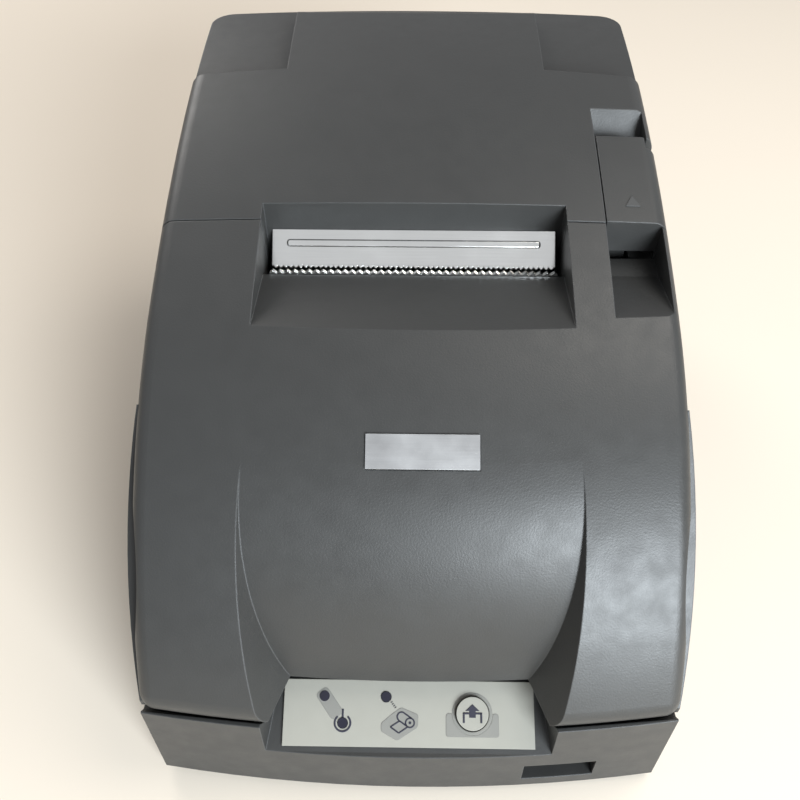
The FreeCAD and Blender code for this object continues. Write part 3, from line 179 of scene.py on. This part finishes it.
# Studio: each lamp's setting, place, aim and tint, then the sky, floor and film
LAMP_SIZE = 0.6
LAMPS = {
    "key_lamp": ("key", (0.5, -0.95, 0.46), (0, -0.05, 0.05), (0.86, 0.94, 1.0)),
    "fill_lamp": ("fill", (0.45, 0.1, 0.95), (0, 0, 0.08), (1.0, 0.95, 0.88)),
    "back_lamp": ("back", (-0.6, 0.85, 0.6), (0, 0.05, 0.06), (1.0, 0.97, 0.93)),
}
SKY_TINT = (0.95, 0.97, 1.0, 1)
SKY_SEEN = 0.6
FLOOR_HALF = 6
FLOOR_ROUGH = 0.8
FLOOR_SHINE = 0.15
FILM_WIDTH = 36
PICTURE_WIDTH = 800
NEAREST = 0.01


def colour(label, words, default):
    """Setting for a colour."""
    return bpy.props.FloatVectorProperty(
        name=label, description=words, default=default, size=3, min=0, max=1, subtype="COLOR")


def length(label, words, default):
    """Setting for a length in metres."""
    return bpy.props.FloatProperty(name=label, description=words, default=default, unit="LENGTH")


def ratio(label, words, default):
    """Setting for a share from 0 to 1."""
    return bpy.props.FloatProperty(
        name=label, description=words, default=default, min=0, max=1, subtype="FACTOR")


def angle(label, words, degrees):
    """Setting for an angle."""
    return bpy.props.FloatProperty(
        name=label, description=words, default=math.radians(degrees), subtype="ANGLE")


def watts(label, words, default):
    """Setting for the power of a lamp."""
    return bpy.props.FloatProperty(
        name=label, description=words, default=default, subtype="POWER", unit="POWER")


class PrinterFinish(bpy.types.PropertyGroup):
    """Colours and textures of the finishes."""

    shell: colour("Shell", "Charcoal plastic of the case and covers", (0.034, 0.034, 0.033))
    shell_worn: colour("Shell edge", "Rubbed plastic along the edges", (0.075, 0.077, 0.078))
    # Raised mark colour: the shell lightened as a painted highlight on the mark's raised top, not rubbed
    # plastic
    mark: colour("Raised mark", "Rubbed top of the mark on the lever", (0.052, 0.053, 0.053))
    sheet: colour("Panel sheet", "Silver cream sheet on the control panel", (0.33, 0.32, 0.28))
    print_grey: colour("Panel grey", "Pale grey print on the panel sheet", (0.22, 0.215, 0.195))
    print_dark: colour("Panel dark", "Dark print on the panel sheet", (0.02, 0.02, 0.035))
    lamp: colour("Lamp lens", "Dark tinted lamp lens", (0.008, 0.008, 0.02))
    steel: colour("Steel", "Plated steel", (0.55, 0.55, 0.54))
    bright: colour("Bright steel", "Polished paper plate and tear edge", (0.93, 0.93, 0.91))
    badge: colour("Name plate", "Brushed blank name plate", (0.56, 0.565, 0.57))
    rubber: colour("Rubber", "Feet, rollers and belt", (0.022, 0.022, 0.022))
    black: colour("Black plastic", "Inner moulded parts", (0.022, 0.022, 0.023))
    acetal: colour("Gears", "Natural gear plastic", (0.68, 0.66, 0.58))
    board: colour("Boards", "Green laminate", (0.025, 0.11, 0.05))
    grain: length("Grain", "Spacing of the fine moulded texture", 0.00055)
    grain_depth: length("Grain depth", "Height of the fine moulded texture", 0.00004)
    shell_rough: ratio("Shell roughness", "Roughness of the textured plastic", 0.43)
    edge: length("Edge", "Radius by which hard edges catch the light", 0.0005)


class PrinterPanel(bpy.types.PropertyGroup):
    """Places and sizes of the panel print, along X and up the slope."""

    lift: length("Print thickness", "How far the print stands on the sheet", 0.00006)
    sheet_top: length("Sheet top", "Height of the sheet above its ledge", 0.0008)
    power_x: length("Power across", "Middle of the power sign", -0.0197)
    power_y: length("Power along", "Middle of the power sign", 0.0081)
    error_x: length("Error across", "Middle of the upper left lamp", -0.0253)
    error_y: length("Error along", "Middle of the upper left lamp", 0.0157)
    ring: length("Ring", "Middle radius of the power ring", 0.00235)
    stroke: length("Stroke", "Width of the dark lines", 0.00056)
    band: length("Band", "Width of the grey slanting band", 0.0042)
    roll_x: length("Roll sign across", "Middle of the paper roll sign", -0.0027)
    roll_y: length("Roll sign along", "Middle of the paper roll sign", 0.0084)
    feed_x: length("Feed across", "Middle of the feed button", 0.019)
    feed_y: length("Feed along", "Middle of the feed button", 0.0112)
    feed_top: length("Button top", "Height of the button above the ledge", 0.0022)


class PrinterMarks(bpy.types.PropertyGroup):
    """Raised and pressed details."""

    arrow_x: length("Lever mark across", "Middle of the triangle on the lever", 0.0665)
    arrow_y: length("Lever mark along", "Middle of the triangle on the lever", 0.0085)
    arrow_size: length("Lever mark size", "Height of the triangle", 0.0042)
    bead_half: length("Bead half length", "Half length of the bead on the paper plate", 0.0395)
    bead_wide: length("Bead width", "Width of the pressed bead", 0.0024)
    bead_high: length("Bead height", "How far the bead stands up", 0.0005)
    teeth: bpy.props.IntProperty(name="Teeth", description="Teeth along the paper plate", default=56, min=8)
    tooth: length("Tooth length", "How far the teeth reach past the plate", 0.0008)


class PrinterStudio(bpy.types.PropertyGroup):
    """Camera, floor and lamps."""

    azimuth: angle("Azimuth", "Turn of the camera round the printer", 1.06)
    elevation: angle("Elevation", "Camera above the horizon", 48.86)
    roll: angle("Roll", "Tilt of the picture", -0.2)
    focal: bpy.props.FloatProperty(
        name="Focal length", description="In pixels of an 800 pixel wide picture",
        default=900, subtype="PIXEL")
    place: bpy.props.FloatVectorProperty(
        name="Place", description="Where the camera stands", default=(-0.0003, -0.2184, 0.2954),
        size=3, subtype="TRANSLATION", unit="LENGTH")
    floor: colour("Floor", "Pale surface under the printer", (0.84, 0.75, 0.64))
    key: watts("Key", "Power of the soft lamp on the right", 24)
    fill: watts("Fill", "Power of the soft lamp overhead", 4)
    back: watts("Back", "Power of the soft lamp behind", 4)
    sky: bpy.props.FloatProperty(name="Sky", description="Strength of the surrounding light", default=0.32)


# Materials
def material(name):
    """New material, with its nodes, its shader and the place on the piece that textures follow."""
    made = bpy.data.materials.new(name)
    made.use_nodes = True
    tree = made.node_tree
    shader = tree.nodes["Principled BSDF"]
    where = tree.nodes.new("ShaderNodeTexCoord")
    return made, tree, shader, where.outputs["Object"]


def noise(tree, where, size, detail=2.0, stretch=None):
    """Noise whose grains are about size metres across, drawn out along an axis if asked."""
    made = tree.nodes.new("ShaderNodeTexNoise")
    made.inputs["Scale"].default_value = 1 / size
    made.inputs["Detail"].default_value = detail
    if stretch:
        turn = tree.nodes.new("ShaderNodeMapping")
        turn.inputs["Scale"].default_value = stretch
        tree.links.new(where, turn.inputs["Vector"])
        where = turn.outputs["Vector"]
    tree.links.new(where, made.inputs["Vector"])
    return made.outputs["Fac"]


def between(tree, factor, low, high):
    """Number that runs from low to high with a noise."""
    made = tree.nodes.new("ShaderNodeMapRange")
    made.inputs["From Min"].default_value = NOISE_LOW
    made.inputs["From Max"].default_value = NOISE_HIGH
    made.inputs["To Min"].default_value = low
    made.inputs["To Max"].default_value = high
    tree.links.new(factor, made.inputs["Value"])
    return made.outputs["Result"]


def colour_mix(tree, factor):
    """Node that mixes two colours by a factor."""
    made = tree.nodes.new("ShaderNodeMix")
    made.data_type = "RGBA"
    tree.links.new(factor, made.inputs[MIX_FACTOR])
    return made


def tones(tree, factor, tone, spread):
    """Colour that runs with a factor from a darker to a lighter shade of a tone."""
    made = colour_mix(tree, factor)
    made.inputs[MIX_FIRST].default_value = (*(max(c * (1 - spread), 0) for c in tone), 1)
    made.inputs[MIX_SECOND].default_value = (*(min(c * (1 + spread), 1) for c in tone), 1)
    return made.outputs[MIX_RESULT]


def uneven_gloss(tree, shader, grain, low, high):
    """Roughness that runs from low to high with a noise."""
    tree.links.new(between(tree, grain, low, high), shader.inputs["Roughness"])


def rounded(tree, radius):
    """Normal that turns softly over hard edges."""
    made = tree.nodes.new("ShaderNodeBevel")
    made.samples = EDGE_SAMPLES
    made.inputs["Radius"].default_value = radius
    return made.outputs["Normal"]


def bumped(tree, shader, height, depth, normal=None):
    """Raise a texture on a shader by a depth in metres."""
    made = tree.nodes.new("ShaderNodeBump")
    made.inputs["Strength"].default_value = 1
    made.inputs["Distance"].default_value = depth
    tree.links.new(height, made.inputs["Height"])
    if normal:
        tree.links.new(normal, made.inputs["Normal"])
    tree.links.new(made.outputs["Normal"], shader.inputs["Normal"])


def edge_share(tree, normal):
    """How far the rounded normal leans from the flat one: 0 on faces, rising along edges."""
    flat = tree.nodes.new("ShaderNodeNewGeometry")
    dot = tree.nodes.new("ShaderNodeVectorMath")
    dot.operation = "DOT_PRODUCT"
    tree.links.new(normal, dot.inputs[0])
    tree.links.new(flat.outputs["True Normal"], dot.inputs[1])
    made = tree.nodes.new("ShaderNodeMapRange")
    made.inputs["From Min"].default_value = WEAR_BEGINS
    made.inputs["From Max"].default_value = WEAR_FULL
    tree.links.new(dot.outputs["Value"], made.inputs["Value"])
    return made.outputs["Result"]


def moulded_shell(name, finish, tint=1.0):
    """Charcoal plastic with a fine spark texture and rubbed edges."""
    made, tree, shader, where = material(name)
    tone = [c * tint for c in finish.shell]
    normal = rounded(tree, finish.edge)
    worn = colour_mix(tree, edge_share(tree, normal))
    clouds = noise(tree, where, size=0.02, detail=4)
    tree.links.new(tones(tree, clouds, tone, spread=0.10), worn.inputs[MIX_FIRST])
    worn.inputs[MIX_SECOND].default_value = (*finish.shell_worn, 1)
    tree.links.new(worn.outputs[MIX_RESULT], shader.inputs["Base Color"])
    rough = finish.shell_rough
    wear = noise(tree, where, size=0.006, detail=3)
    uneven_gloss(tree, shader, wear, low=rough - 0.04, high=rough + 0.05)
    bumped(tree, shader, noise(tree, where, finish.grain), finish.grain_depth, normal)
    return made


def plain_plastic(name, finish, tone, rough, spread=0.08, grain=0.0012, depth=0.000015):
    """Plastic, rubber or ink of one tone with a faint grain."""
    made, tree, shader, where = material(name)
    clouds = noise(tree, where, size=0.008, detail=3)
    tree.links.new(tones(tree, clouds, tone, spread), shader.inputs["Base Color"])
    uneven_gloss(tree, shader, noise(tree, where, size=0.004), low=rough - 0.05, high=rough + 0.06)
    bumped(tree, shader, noise(tree, where, grain), depth, rounded(tree, finish.edge * PLASTIC_EDGE))
    return made


def brushed_metal(name, finish, tone, stretch, rough, depth=0.000012, spread=0.10):
    """Metal with fine lines along the axis whose stretch is least."""
    made, tree, shader, where = material(name)
    lines = noise(tree, where, size=0.0004, detail=3, stretch=stretch)
    tree.links.new(tones(tree, lines, tone, spread), shader.inputs["Base Color"])
    uneven_gloss(tree, shader, noise(tree, where, size=0.01, detail=3), low=rough - 0.05, high=rough + 0.07)
    shader.inputs["Metallic"].default_value = 1
    bumped(tree, shader, lines, depth, rounded(tree, finish.edge * METAL_EDGE))
    return made


def inked_cloth(name, tone):
    """Woven ribbon soaked with ink."""
    made, tree, shader, where = material(name)
    weave = tree.nodes.new("ShaderNodeTexWave")
    weave.inputs["Scale"].default_value = WEAVE_SCALE
    weave.inputs["Distortion"].default_value = WEAVE_WANDER
    tree.links.new(where, weave.inputs["Vector"])
    threads = weave.outputs["Fac"]
    tree.links.new(tones(tree, threads, tone, spread=0.4), shader.inputs["Base Color"])
    shader.inputs["Roughness"].default_value = 0.8
    bumped(tree, shader, threads, depth=0.00003)
    return made


def lens(name, tone):
    """Dark tinted plastic under a clear gloss."""
    made, tree, shader, where = material(name)
    clouds = noise(tree, where, size=0.002)
    tree.links.new(tones(tree, clouds, tone, spread=0.3), shader.inputs["Base Color"])
    uneven_gloss(tree, shader, noise(tree, where, size=0.003), low=0.10, high=0.2)
    shader.inputs["Coat Weight"].default_value = 0.6
    return made


def make_finishes(finish):
    """One material for each slot of the record, and those of the print."""
    return {
        "case_plastic": moulded_shell("case_plastic", finish, tint=0.97),
        "cover_plastic": moulded_shell("cover_plastic", finish),
        "lever_plastic": moulded_shell("lever_plastic", finish, tint=1.02),
        "steel": brushed_metal("plated_steel", finish, finish.steel, ALONG_X, rough=0.34),
        "polished_steel": brushed_metal(
            "bright_steel", finish, finish.bright, ALONG_X, rough=0.16, depth=0.000004, spread=0.05),
        "badge_metal": brushed_metal("badge_metal", finish, finish.badge, ALONG_X, rough=0.36),
        "rubber": plain_plastic("matt_rubber", finish, finish.rubber, rough=0.75, spread=0.2),
        "panel_sheet": plain_plastic(
            "panel_sheet", finish, finish.sheet, rough=0.42, spread=0.03, grain=0.0006, depth=0.000006),
        "lamp_tint": lens("lamp_lens", finish.lamp),
        "button_plastic": plain_plastic(
            "button_cap", finish, finish.sheet, rough=0.4, spread=0.03, grain=0.0008, depth=0.000006),
        "rocker_plastic": plain_plastic("rocker_cap", finish, finish.black, rough=0.3),
        "board": plain_plastic("laminate", finish, finish.board, rough=0.4, spread=0.25),
        "black_plastic": plain_plastic("inner_plastic", finish, finish.black, rough=0.45, spread=0.15),
        "gear_plastic": plain_plastic("acetal", finish, finish.acetal, rough=0.4, spread=0.05),
        "motor_metal": brushed_metal("motor_can", finish, finish.steel, ALONG_Y, rough=0.4),
        "platen_plastic": plain_plastic("platen", finish, finish.black, rough=0.6, spread=0.2),
        "ribbon_ink": inked_cloth("inked_ribbon", RIBBON_INK),
        # Raised mark on the lever: its lighter tone is a painted highlight where light catches the raised
        # triangle
        "raised_mark": plain_plastic(
            "raised_mark", finish, finish.mark, rough=finish.shell_rough, spread=0.1),
        "grey_print": plain_plastic("grey_print", finish, finish.print_grey, rough=0.5, spread=0.04),
        "dark_print": plain_plastic("dark_print", finish, finish.print_dark, rough=0.45, spread=0.2),
    }


def finish_named(name):
    """Material that the finishes have made."""
    found = bpy.data.materials.get(name)
    if found is None:
        raise RuntimeError(f"there is no material {name}: run the finishes first")
    return found


# Mesh helpers
def piece(name, bm, body, paint, place):
    """Turn a flat drawing at the origin into a finished piece at its place on a body."""
    bmesh.ops.transform(bm, matrix=place, verts=bm.verts[:])
    bmesh.ops.remove_doubles(bm, verts=bm.verts[:], dist=WELD)
    bmesh.ops.recalc_face_normals(bm, faces=bm.faces[:])
    mesh = bpy.data.meshes.new(name)
    bm.to_mesh(mesh)
    bm.free()
    if not mesh.polygons:
        raise RuntimeError(f"{name} came out empty")
    made = bpy.data.objects.new(name, mesh)
    bpy.context.scene.collection.objects.link(made)
    mesh.materials.append(paint)
    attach(made, body)


def raise_faces(bm, faces, height):
    """Give flat faces a thickness upwards, and keep them closed underneath."""
    for face in faces:
        if face.normal.z < 0:
            face.normal_flip()
    out = bmesh.ops.extrude_face_region(bm, geom=faces, use_keep_orig=True)
    moved = [item for item in out["geom"] if isinstance(item, bmesh.types.BMVert)]
    bmesh.ops.translate(bm, verts=moved, vec=(0, 0, height))


def polygon(bm, points):
    """Flat face of an outline."""
    face = bm.faces.new([bm.verts.new((x, y, 0)) for x, y in points])
    bm.normal_update()
    return face


def oblong(left, right, half):
    """Outline of a rectangle that lies evenly along X."""
    return [(left, -half), (right, -half), (right, half), (left, half)]


def softened(points, soft, steps):
    """Outline whose corners are rounded off by curves that start soft metres before each corner."""
    out = []
    for index, corner in enumerate(points):
        corner = Vector(corner)
        before = Vector(points[index - 1]) - corner
        after = Vector(points[(index + 1) % len(points)]) - corner
        start = corner + before.normalized() * min(soft, before.length * CORNER_SHARE)
        end = corner + after.normalized() * min(soft, after.length * CORNER_SHARE)
        for step in range(steps + 1):
            t = step / steps
            out.append(tuple(start * (1 - t) ** 2 + corner * 2 * t * (1 - t) + end * t ** 2))
    return out


def block(bm, points, height, soft=0.0, steps=CORNER_STEPS):
    """Flat plate of an outline, its corners rounded if asked."""
    face = polygon(bm, softened(points, soft, steps) if soft else points)
    raise_faces(bm, [face], height)


def stroke(bm, start, end, width, height):
    """Straight bar of a width between two points."""
    start, end = Vector(start), Vector(end)
    side = (end - start).orthogonal().normalized() * width / 2
    block(bm, [start + side, start - side, end - side, end + side], height)


def ring(bm, middle, radius, width, height, steps, start=0.0, sweep=math.tau):
    """Full ring, or a band of a circle, spun from a short edge."""
    middle = Vector((*middle, 0))
    aim = Vector((math.cos(start), math.sin(start), 0))
    ends = [bm.verts.new(middle + aim * (radius + side * width / 2)) for side in (-1, 1)]
    edge = bm.edges.new(ends)
    before = set(bm.faces)
    bmesh.ops.spin(bm, geom=[edge, *ends], cent=middle, axis=(0, 0, 1), angle=sweep, steps=steps,
                   use_merge=sweep >= math.tau, dvec=(0, 0, 0), space=Matrix(), use_duplicate=False)
    bm.normal_update()
    raise_faces(bm, [f for f in bm.faces if f not in before], height)


def lying_on(normal):
    """Turn that lays a flat drawing on a face, with its own X across the printer."""
    across = Vector((1, 0, 0))
    across = (across - normal * across.dot(normal)).normalized()
    return Matrix((across, normal.cross(across), normal)).transposed().to_4x4()


def on_panel(x, along, up):
    """Matrix that lays a flat drawing on the panel slope with its middle at a place."""
    spot = PANEL_EDGE + Vector((x, 0, 0)) + PANEL_UP_SLOPE * along + PANEL_NORMAL * up
    return Matrix.Translation(spot) @ lying_on(PANEL_NORMAL)


def top_of(name, x, y):
    """Point on top of a solid, and the normal there."""
    above = Vector((x, y, SEEK_HEIGHT))
    hit, spot, normal, _ = frame["nodes"][name].ray_cast(above, Vector((0, 0, -1)))
    if not hit:
        raise RuntimeError(f"{name} has no top under its mark")
    return spot, normal


class PRINTER_OT_finishes(bpy.types.Operator):
    """Make the materials and give each solid the one of its slot"""

    bl_idname = "printer.finishes"
    bl_label = "Finishes"

    def execute(self, context):
        paints = make_finishes(context.scene.printer_finish)
        by_node = {part["node"]: part["material_slot"] for part in frame["record"]["subparts"]}
        for name, node in frame["nodes"].items():
            paint = paints.get(by_node.get(name))
            if paint is None:
                raise RuntimeError(f"no finish for {name}")
            if not node.material_slots:
                node.data.materials.append(paint)
            for place in node.material_slots:
                place.material = paint
        return {"FINISHED"}


class PRINTER_OT_panel_print(bpy.types.Operator):
    """Print on the panel sheet: slanting band, power sign, paper roll sign and button surround"""

    bl_idname = "printer.panel_print"
    bl_label = "Panel print"

    def execute(self, context):
        panel = context.scene.printer_panel
        grey, dark = finish_named("grey_print"), finish_named("dark_print")
        top = panel.sheet_top
        error_lamp = on_panel(panel.error_x, panel.error_y, top)
        power_lamp = on_panel(panel.power_x, panel.power_y, top)
        roll_sign = on_panel(panel.roll_x, panel.roll_y, top)
        for name, drawn, paint, place in (
            ("print_band", self.band, grey, error_lamp),
            ("print_power", self.power_sign, dark, power_lamp),
            ("print_patch", self.patch, grey, roll_sign),
            ("print_roll", self.paper_roll, dark, roll_sign),
            ("print_surround", self.surround, grey, on_panel(panel.feed_x, panel.feed_y, top)),
        ):
            piece(name, drawn(panel), "chassis", paint, place)
        button_top = on_panel(panel.feed_x, panel.feed_y, panel.feed_top)
        piece("feed_arrow", self.arrow(panel), "feed_button", dark, button_top)
        return {"FINISHED"}

    def band(self, panel):
        """Grey band that slants from the upper left lamp down to the power sign."""
        bm = bmesh.new()
        reach = Vector((panel.power_x - panel.error_x, panel.power_y - panel.error_y))
        half = panel.band / 2
        block(bm, oblong(-half, reach.length - BAND_SHORT, half), panel.lift, BAND_CORNER)
        lean = Matrix.Rotation(math.atan2(reach.y, reach.x), 3, "Z")
        bmesh.ops.rotate(bm, verts=bm.verts[:], cent=(0, 0, 0), matrix=lean)
        return bm

    def power_sign(self, panel):
        """Ring that is open at the top, with a bar in its gap."""
        bm = bmesh.new()
        thick = panel.lift * 2
        ring(bm, (0, 0), panel.ring, panel.stroke, thick, steps=40,
             start=math.pi / 2 + POWER_GAP, sweep=math.tau - 2 * POWER_GAP)
        stroke(bm, *POWER_BAR, panel.stroke, thick)
        return bm

    def patch(self, panel):
        """Grey patch behind the paper roll."""
        bm = bmesh.new()
        block(bm, PATCH, panel.lift, PATCH_CORNER)
        return bm

    def paper_roll(self, panel):
        """Roll of paper with its loose end, drawn in lines, and the ticks that lead to its lamp."""
        bm = bmesh.new()
        line, thick = panel.stroke * ROLL_LINE, panel.lift * 2
        ring(bm, ROLL_NEAR, ROLL_RADIUS, line, thick, steps=28)
        ring(bm, ROLL_NEAR, ROLL_CORE_RADIUS, ROLL_CORE_WIDTH, thick, steps=12)
        ring(bm, ROLL_FAR, ROLL_RADIUS, line, thick, steps=18, start=ROLL_FAR_START, sweep=ROLL_FAR_SWEEP)
        for start, end in ROLL_SIDES:
            stroke(bm, start, end, line, thick)
        for step in range(TICKS):
            spot = TICK_START + TICK_STEP * step
            stroke(bm, spot, spot + TICK_REACH, panel.stroke * TICK_LINE, thick)
        for start, end in zip(LOOSE_END, LOOSE_END[1:]):
            stroke(bm, start, end, line, thick)
        return bm

    def surround(self, panel):
        """Ring round the feed button, and the plate below it with a round bite for the ring."""
        bm = bmesh.new()
        ring(bm, (0, 0), SURROUND_RADIUS, SURROUND_WIDTH, panel.lift, steps=64)
        turns = [math.pi * step / BITE_STEPS for step in range(BITE_STEPS + 1)]
        bite = [(BITE_RADIUS * math.cos(turn), -BITE_RADIUS * math.sin(turn)) for turn in turns]
        corners = softened(SURROUND_PLATE, SURROUND_CORNER, CORNER_STEPS)
        one_corner = CORNER_STEPS + 1
        block(bm, [*corners[one_corner:-one_corner], *bite], panel.lift)
        return bm

    def arrow(self, panel):
        """Arrow that rises out of a frame, on the button's top."""
        bm = bmesh.new()
        thick = panel.lift * 2
        block(bm, ARROW, thick)
        for side in (-1, 1):
            outer, inner = side * ARROW_FRAME_OUTER, side * ARROW_FRAME_INNER
            upright = side * ARROW_FRAME_X
            stroke(bm, (upright, ARROW_FRAME_TOP), (upright, ARROW_FRAME_FOOT), panel.stroke, thick)
            stroke(bm, (outer, ARROW_FRAME_TOP), (inner, ARROW_FRAME_TOP), panel.stroke, thick)
        return bm


class PRINTER_OT_marks(bpy.types.Operator):
    """Triangle on the lever, and the pressed bead and fine teeth of the paper plate"""

    bl_idname = "printer.marks"
    bl_label = "Marks"

    def execute(self, context):
        marks = context.scene.printer_marks
        self.triangle(marks)
        low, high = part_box("paper_plate")
        spot, normal = top_of("paper_plate", 0, low.y + (high.y - low.y) * BEAD_PLACE)
        self.bead(marks, Matrix.Translation(spot - normal * BEAD_SINK) @ lying_on(normal))
        self.comb(marks, Matrix.Translation(spot) @ lying_on(normal))
        return {"FINISHED"}

    def triangle(self, marks):
        """Raised triangle on the lever."""
        spot, normal = top_of("open_lever", marks.arrow_x, marks.arrow_y)
        half, rise = marks.arrow_size * LEVER_MARK_HALF, marks.arrow_size / 2
        bm = bmesh.new()
        block(bm, [(-half, -rise), (half, -rise), (0, rise)], LEVER_MARK_THICK, LEVER_MARK_CORNER,
              LEVER_MARK_CORNER_STEPS)
        piece("lever_mark", bm, "open_lever", finish_named("raised_mark"),
              Matrix.Translation(spot - normal * LEVER_MARK_SINK) @ lying_on(normal))

    def bead(self, marks, place):
        """Long rounded bead lying on the plate."""
        bm = bmesh.new()
        half, wide, height = marks.bead_half, marks.bead_wide / 2, marks.bead_high
        block(bm, oblong(-half, half, wide), height, wide * BEAD_END, BEAD_END_STEPS)
        slope = bmesh.ops.inset_region(
            bm, faces=self.upper(bm, height), thickness=wide * BEAD_INSET, depth=0)["faces"]
        for face in slope:
            face.smooth = True
        inner = [f for f in self.upper(bm, height) if f not in slope]
        rim = {v for f in slope for v in f.verts} - {v for f in inner for v in f.verts}
        bmesh.ops.translate(bm, verts=list(rim), vec=(0, 0, -height * BEAD_DROP))
        piece("plate_bead", bm, "roll_cover", finish_named("bright_steel"), place)

    def upper(self, bm, height):
        """Faces on top of the bead."""
        return [f for f in bm.faces if f.calc_center_median().z > height * BEAD_TOP]

    def comb(self, marks, place):
        """Fine teeth along the front edge of the plate."""
        back = place.inverted()
        points = [back @ v.co for v in frame["nodes"]["paper_plate"].data.vertices]
        face = [p for p in points if abs(p.z) < COMB_FACE]
        if not face:
            raise RuntimeError("the paper plate has no edge for its teeth")
        edge, half = min(p.y for p in face), max(p.x for p in face) - COMB_END
        pitch = 2 * half / marks.teeth
        outline = [(-half, edge + COMB_ROOT), (-half, edge)]
        for step in range(marks.teeth):
            left = -half + pitch * step
            outline += [(left + pitch / 2, edge - marks.tooth), (left + pitch, edge)]
        outline.append((half, edge + COMB_ROOT))
        bm = bmesh.new()
        block(bm, outline, COMB_THICK)
        bmesh.ops.translate(bm, verts=bm.verts[:], vec=(0, 0, -COMB_SINK))
        piece("plate_teeth", bm, "roll_cover", finish_named("bright_steel"), place)


class PRINTER_OT_studio(bpy.types.Operator):
    """Pale floor, soft lamps, surrounding light and the camera"""

    bl_idname = "printer.studio"
    bl_label = "Studio"

    def execute(self, context):
        scene = context.scene
        studio = scene.printer_studio
        self.floor(scene, studio)
        self.sky(scene, studio)
        for name, (setting, place, aim, tint) in LAMPS.items():
            self.lamp(scene, name, place, aim, getattr(studio, setting), tint)
        self.camera(scene, studio)
        scene.view_settings.view_transform = "Standard"
        return {"FINISHED"}

    def floor(self, scene, studio):
        """Wide pale floor."""
        bm = bmesh.new()
        bmesh.ops.create_grid(bm, x_segments=2, y_segments=2, size=FLOOR_HALF)
        mesh = bpy.data.meshes.new("floor")
        bm.to_mesh(mesh)
        bm.free()
        made = bpy.data.objects.new("floor", mesh)
        scene.collection.objects.link(made)
        paint, tree, shader, where = material("floor_paint")
        clouds = noise(tree, where, size=0.25, detail=3)
        tree.links.new(tones(tree, clouds, studio.floor, spread=0.02), shader.inputs["Base Color"])
        shader.inputs["Roughness"].default_value = FLOOR_ROUGH
        shader.inputs["Specular IOR Level"].default_value = FLOOR_SHINE
        mesh.materials.append(paint)

    def sky(self, scene, studio):
        """Even light from all round, stronger where the camera, a gloss or a clear piece sees it."""
        world = bpy.data.worlds.new("studio")
        world.use_nodes = True
        tree = world.node_tree
        light = tree.nodes["Background"]
        light.inputs["Color"].default_value = SKY_TINT
        path = tree.nodes.new("ShaderNodeLightPath")
        seen = path.outputs["Is Camera Ray"]
        for kind in ("Is Glossy Ray", "Is Transmission Ray"):
            either = tree.nodes.new("ShaderNodeMath")
            either.operation = "MAXIMUM"
            tree.links.new(seen, either.inputs[0])
            tree.links.new(path.outputs[kind], either.inputs[1])
            seen = either.outputs["Value"]
        strength = tree.nodes.new("ShaderNodeMapRange")
        strength.inputs["To Min"].default_value = studio.sky
        strength.inputs["To Max"].default_value = SKY_SEEN
        tree.links.new(seen, strength.inputs["Value"])
        tree.links.new(strength.outputs["Result"], light.inputs["Strength"])
        scene.world = world

    def lamp(self, scene, name, place, aim, power, tint):
        """Round soft lamp at a place, turned to a point."""
        data = bpy.data.lights.new(name, "AREA")
        data.shape = "DISK"
        data.size = LAMP_SIZE
        data.energy = power
        data.color = tint
        made = bpy.data.objects.new(name, data)
        made.location = place
        made.rotation_euler = (Vector(aim) - Vector(place)).to_track_quat("-Z", "Y").to_euler()
        scene.collection.objects.link(made)

    def camera(self, scene, studio):
        """Camera in front of the printer and above it."""
        data = bpy.data.cameras.new("camera")
        data.sensor_width = FILM_WIDTH
        data.lens = studio.focal * FILM_WIDTH / PICTURE_WIDTH
        data.clip_start = NEAREST
        made = bpy.data.objects.new("camera", data)
        turn, rise = studio.azimuth, studio.elevation
        back = Vector((math.sin(turn) * math.cos(rise), -math.cos(turn) * math.cos(rise), math.sin(rise)))
        made.location = studio.place
        look = (-back).to_track_quat("-Z", "Y").to_matrix() @ Matrix.Rotation(studio.roll, 3, "Z")
        made.rotation_euler = look.to_euler()
        scene.collection.objects.link(made)
        scene.camera = made


class PRINTER_PT_looks(bpy.types.Panel):
    """Steps and settings of the printer's looks"""

    bl_idname = "PRINTER_PT_looks"
    bl_label = "Receipt printer"
    bl_space_type = "VIEW_3D"
    bl_region_type = "UI"
    bl_category = "Printer"

    def draw(self, context):
        column = self.layout.column()
        for step in STEPS:
            column.operator(step.bl_idname)
        for setting in GROUPS:
            group = getattr(context.scene, setting)
            box = self.layout.box()
            for name in group.__annotations__:
                box.prop(group, name)


STEPS = (PRINTER_OT_finishes, PRINTER_OT_panel_print, PRINTER_OT_marks, PRINTER_OT_studio)
GROUPS = {"printer_finish": PrinterFinish, "printer_panel": PrinterPanel,
          "printer_marks": PrinterMarks, "printer_studio": PrinterStudio}


def register():
    """Make the settings, the steps and the panel known to Blender."""
    for kind in (*GROUPS.values(), *STEPS, PRINTER_PT_looks):
        bpy.utils.register_class(kind)
    for name, kind in GROUPS.items():
        setattr(bpy.types.Scene, name, bpy.props.PointerProperty(type=kind))


def unregister():
    """Take them away again."""
    for name in GROUPS:
        delattr(bpy.types.Scene, name)
    for kind in (PRINTER_PT_looks, *reversed(STEPS), *GROUPS.values()):
        bpy.utils.unregister_class(kind)


def main():
    """Run every step."""
    register()
    bpy.ops.printer.finishes()
    bpy.ops.printer.panel_print()
    bpy.ops.printer.marks()
    bpy.ops.printer.studio()


if __name__ == "__main__":
    main()
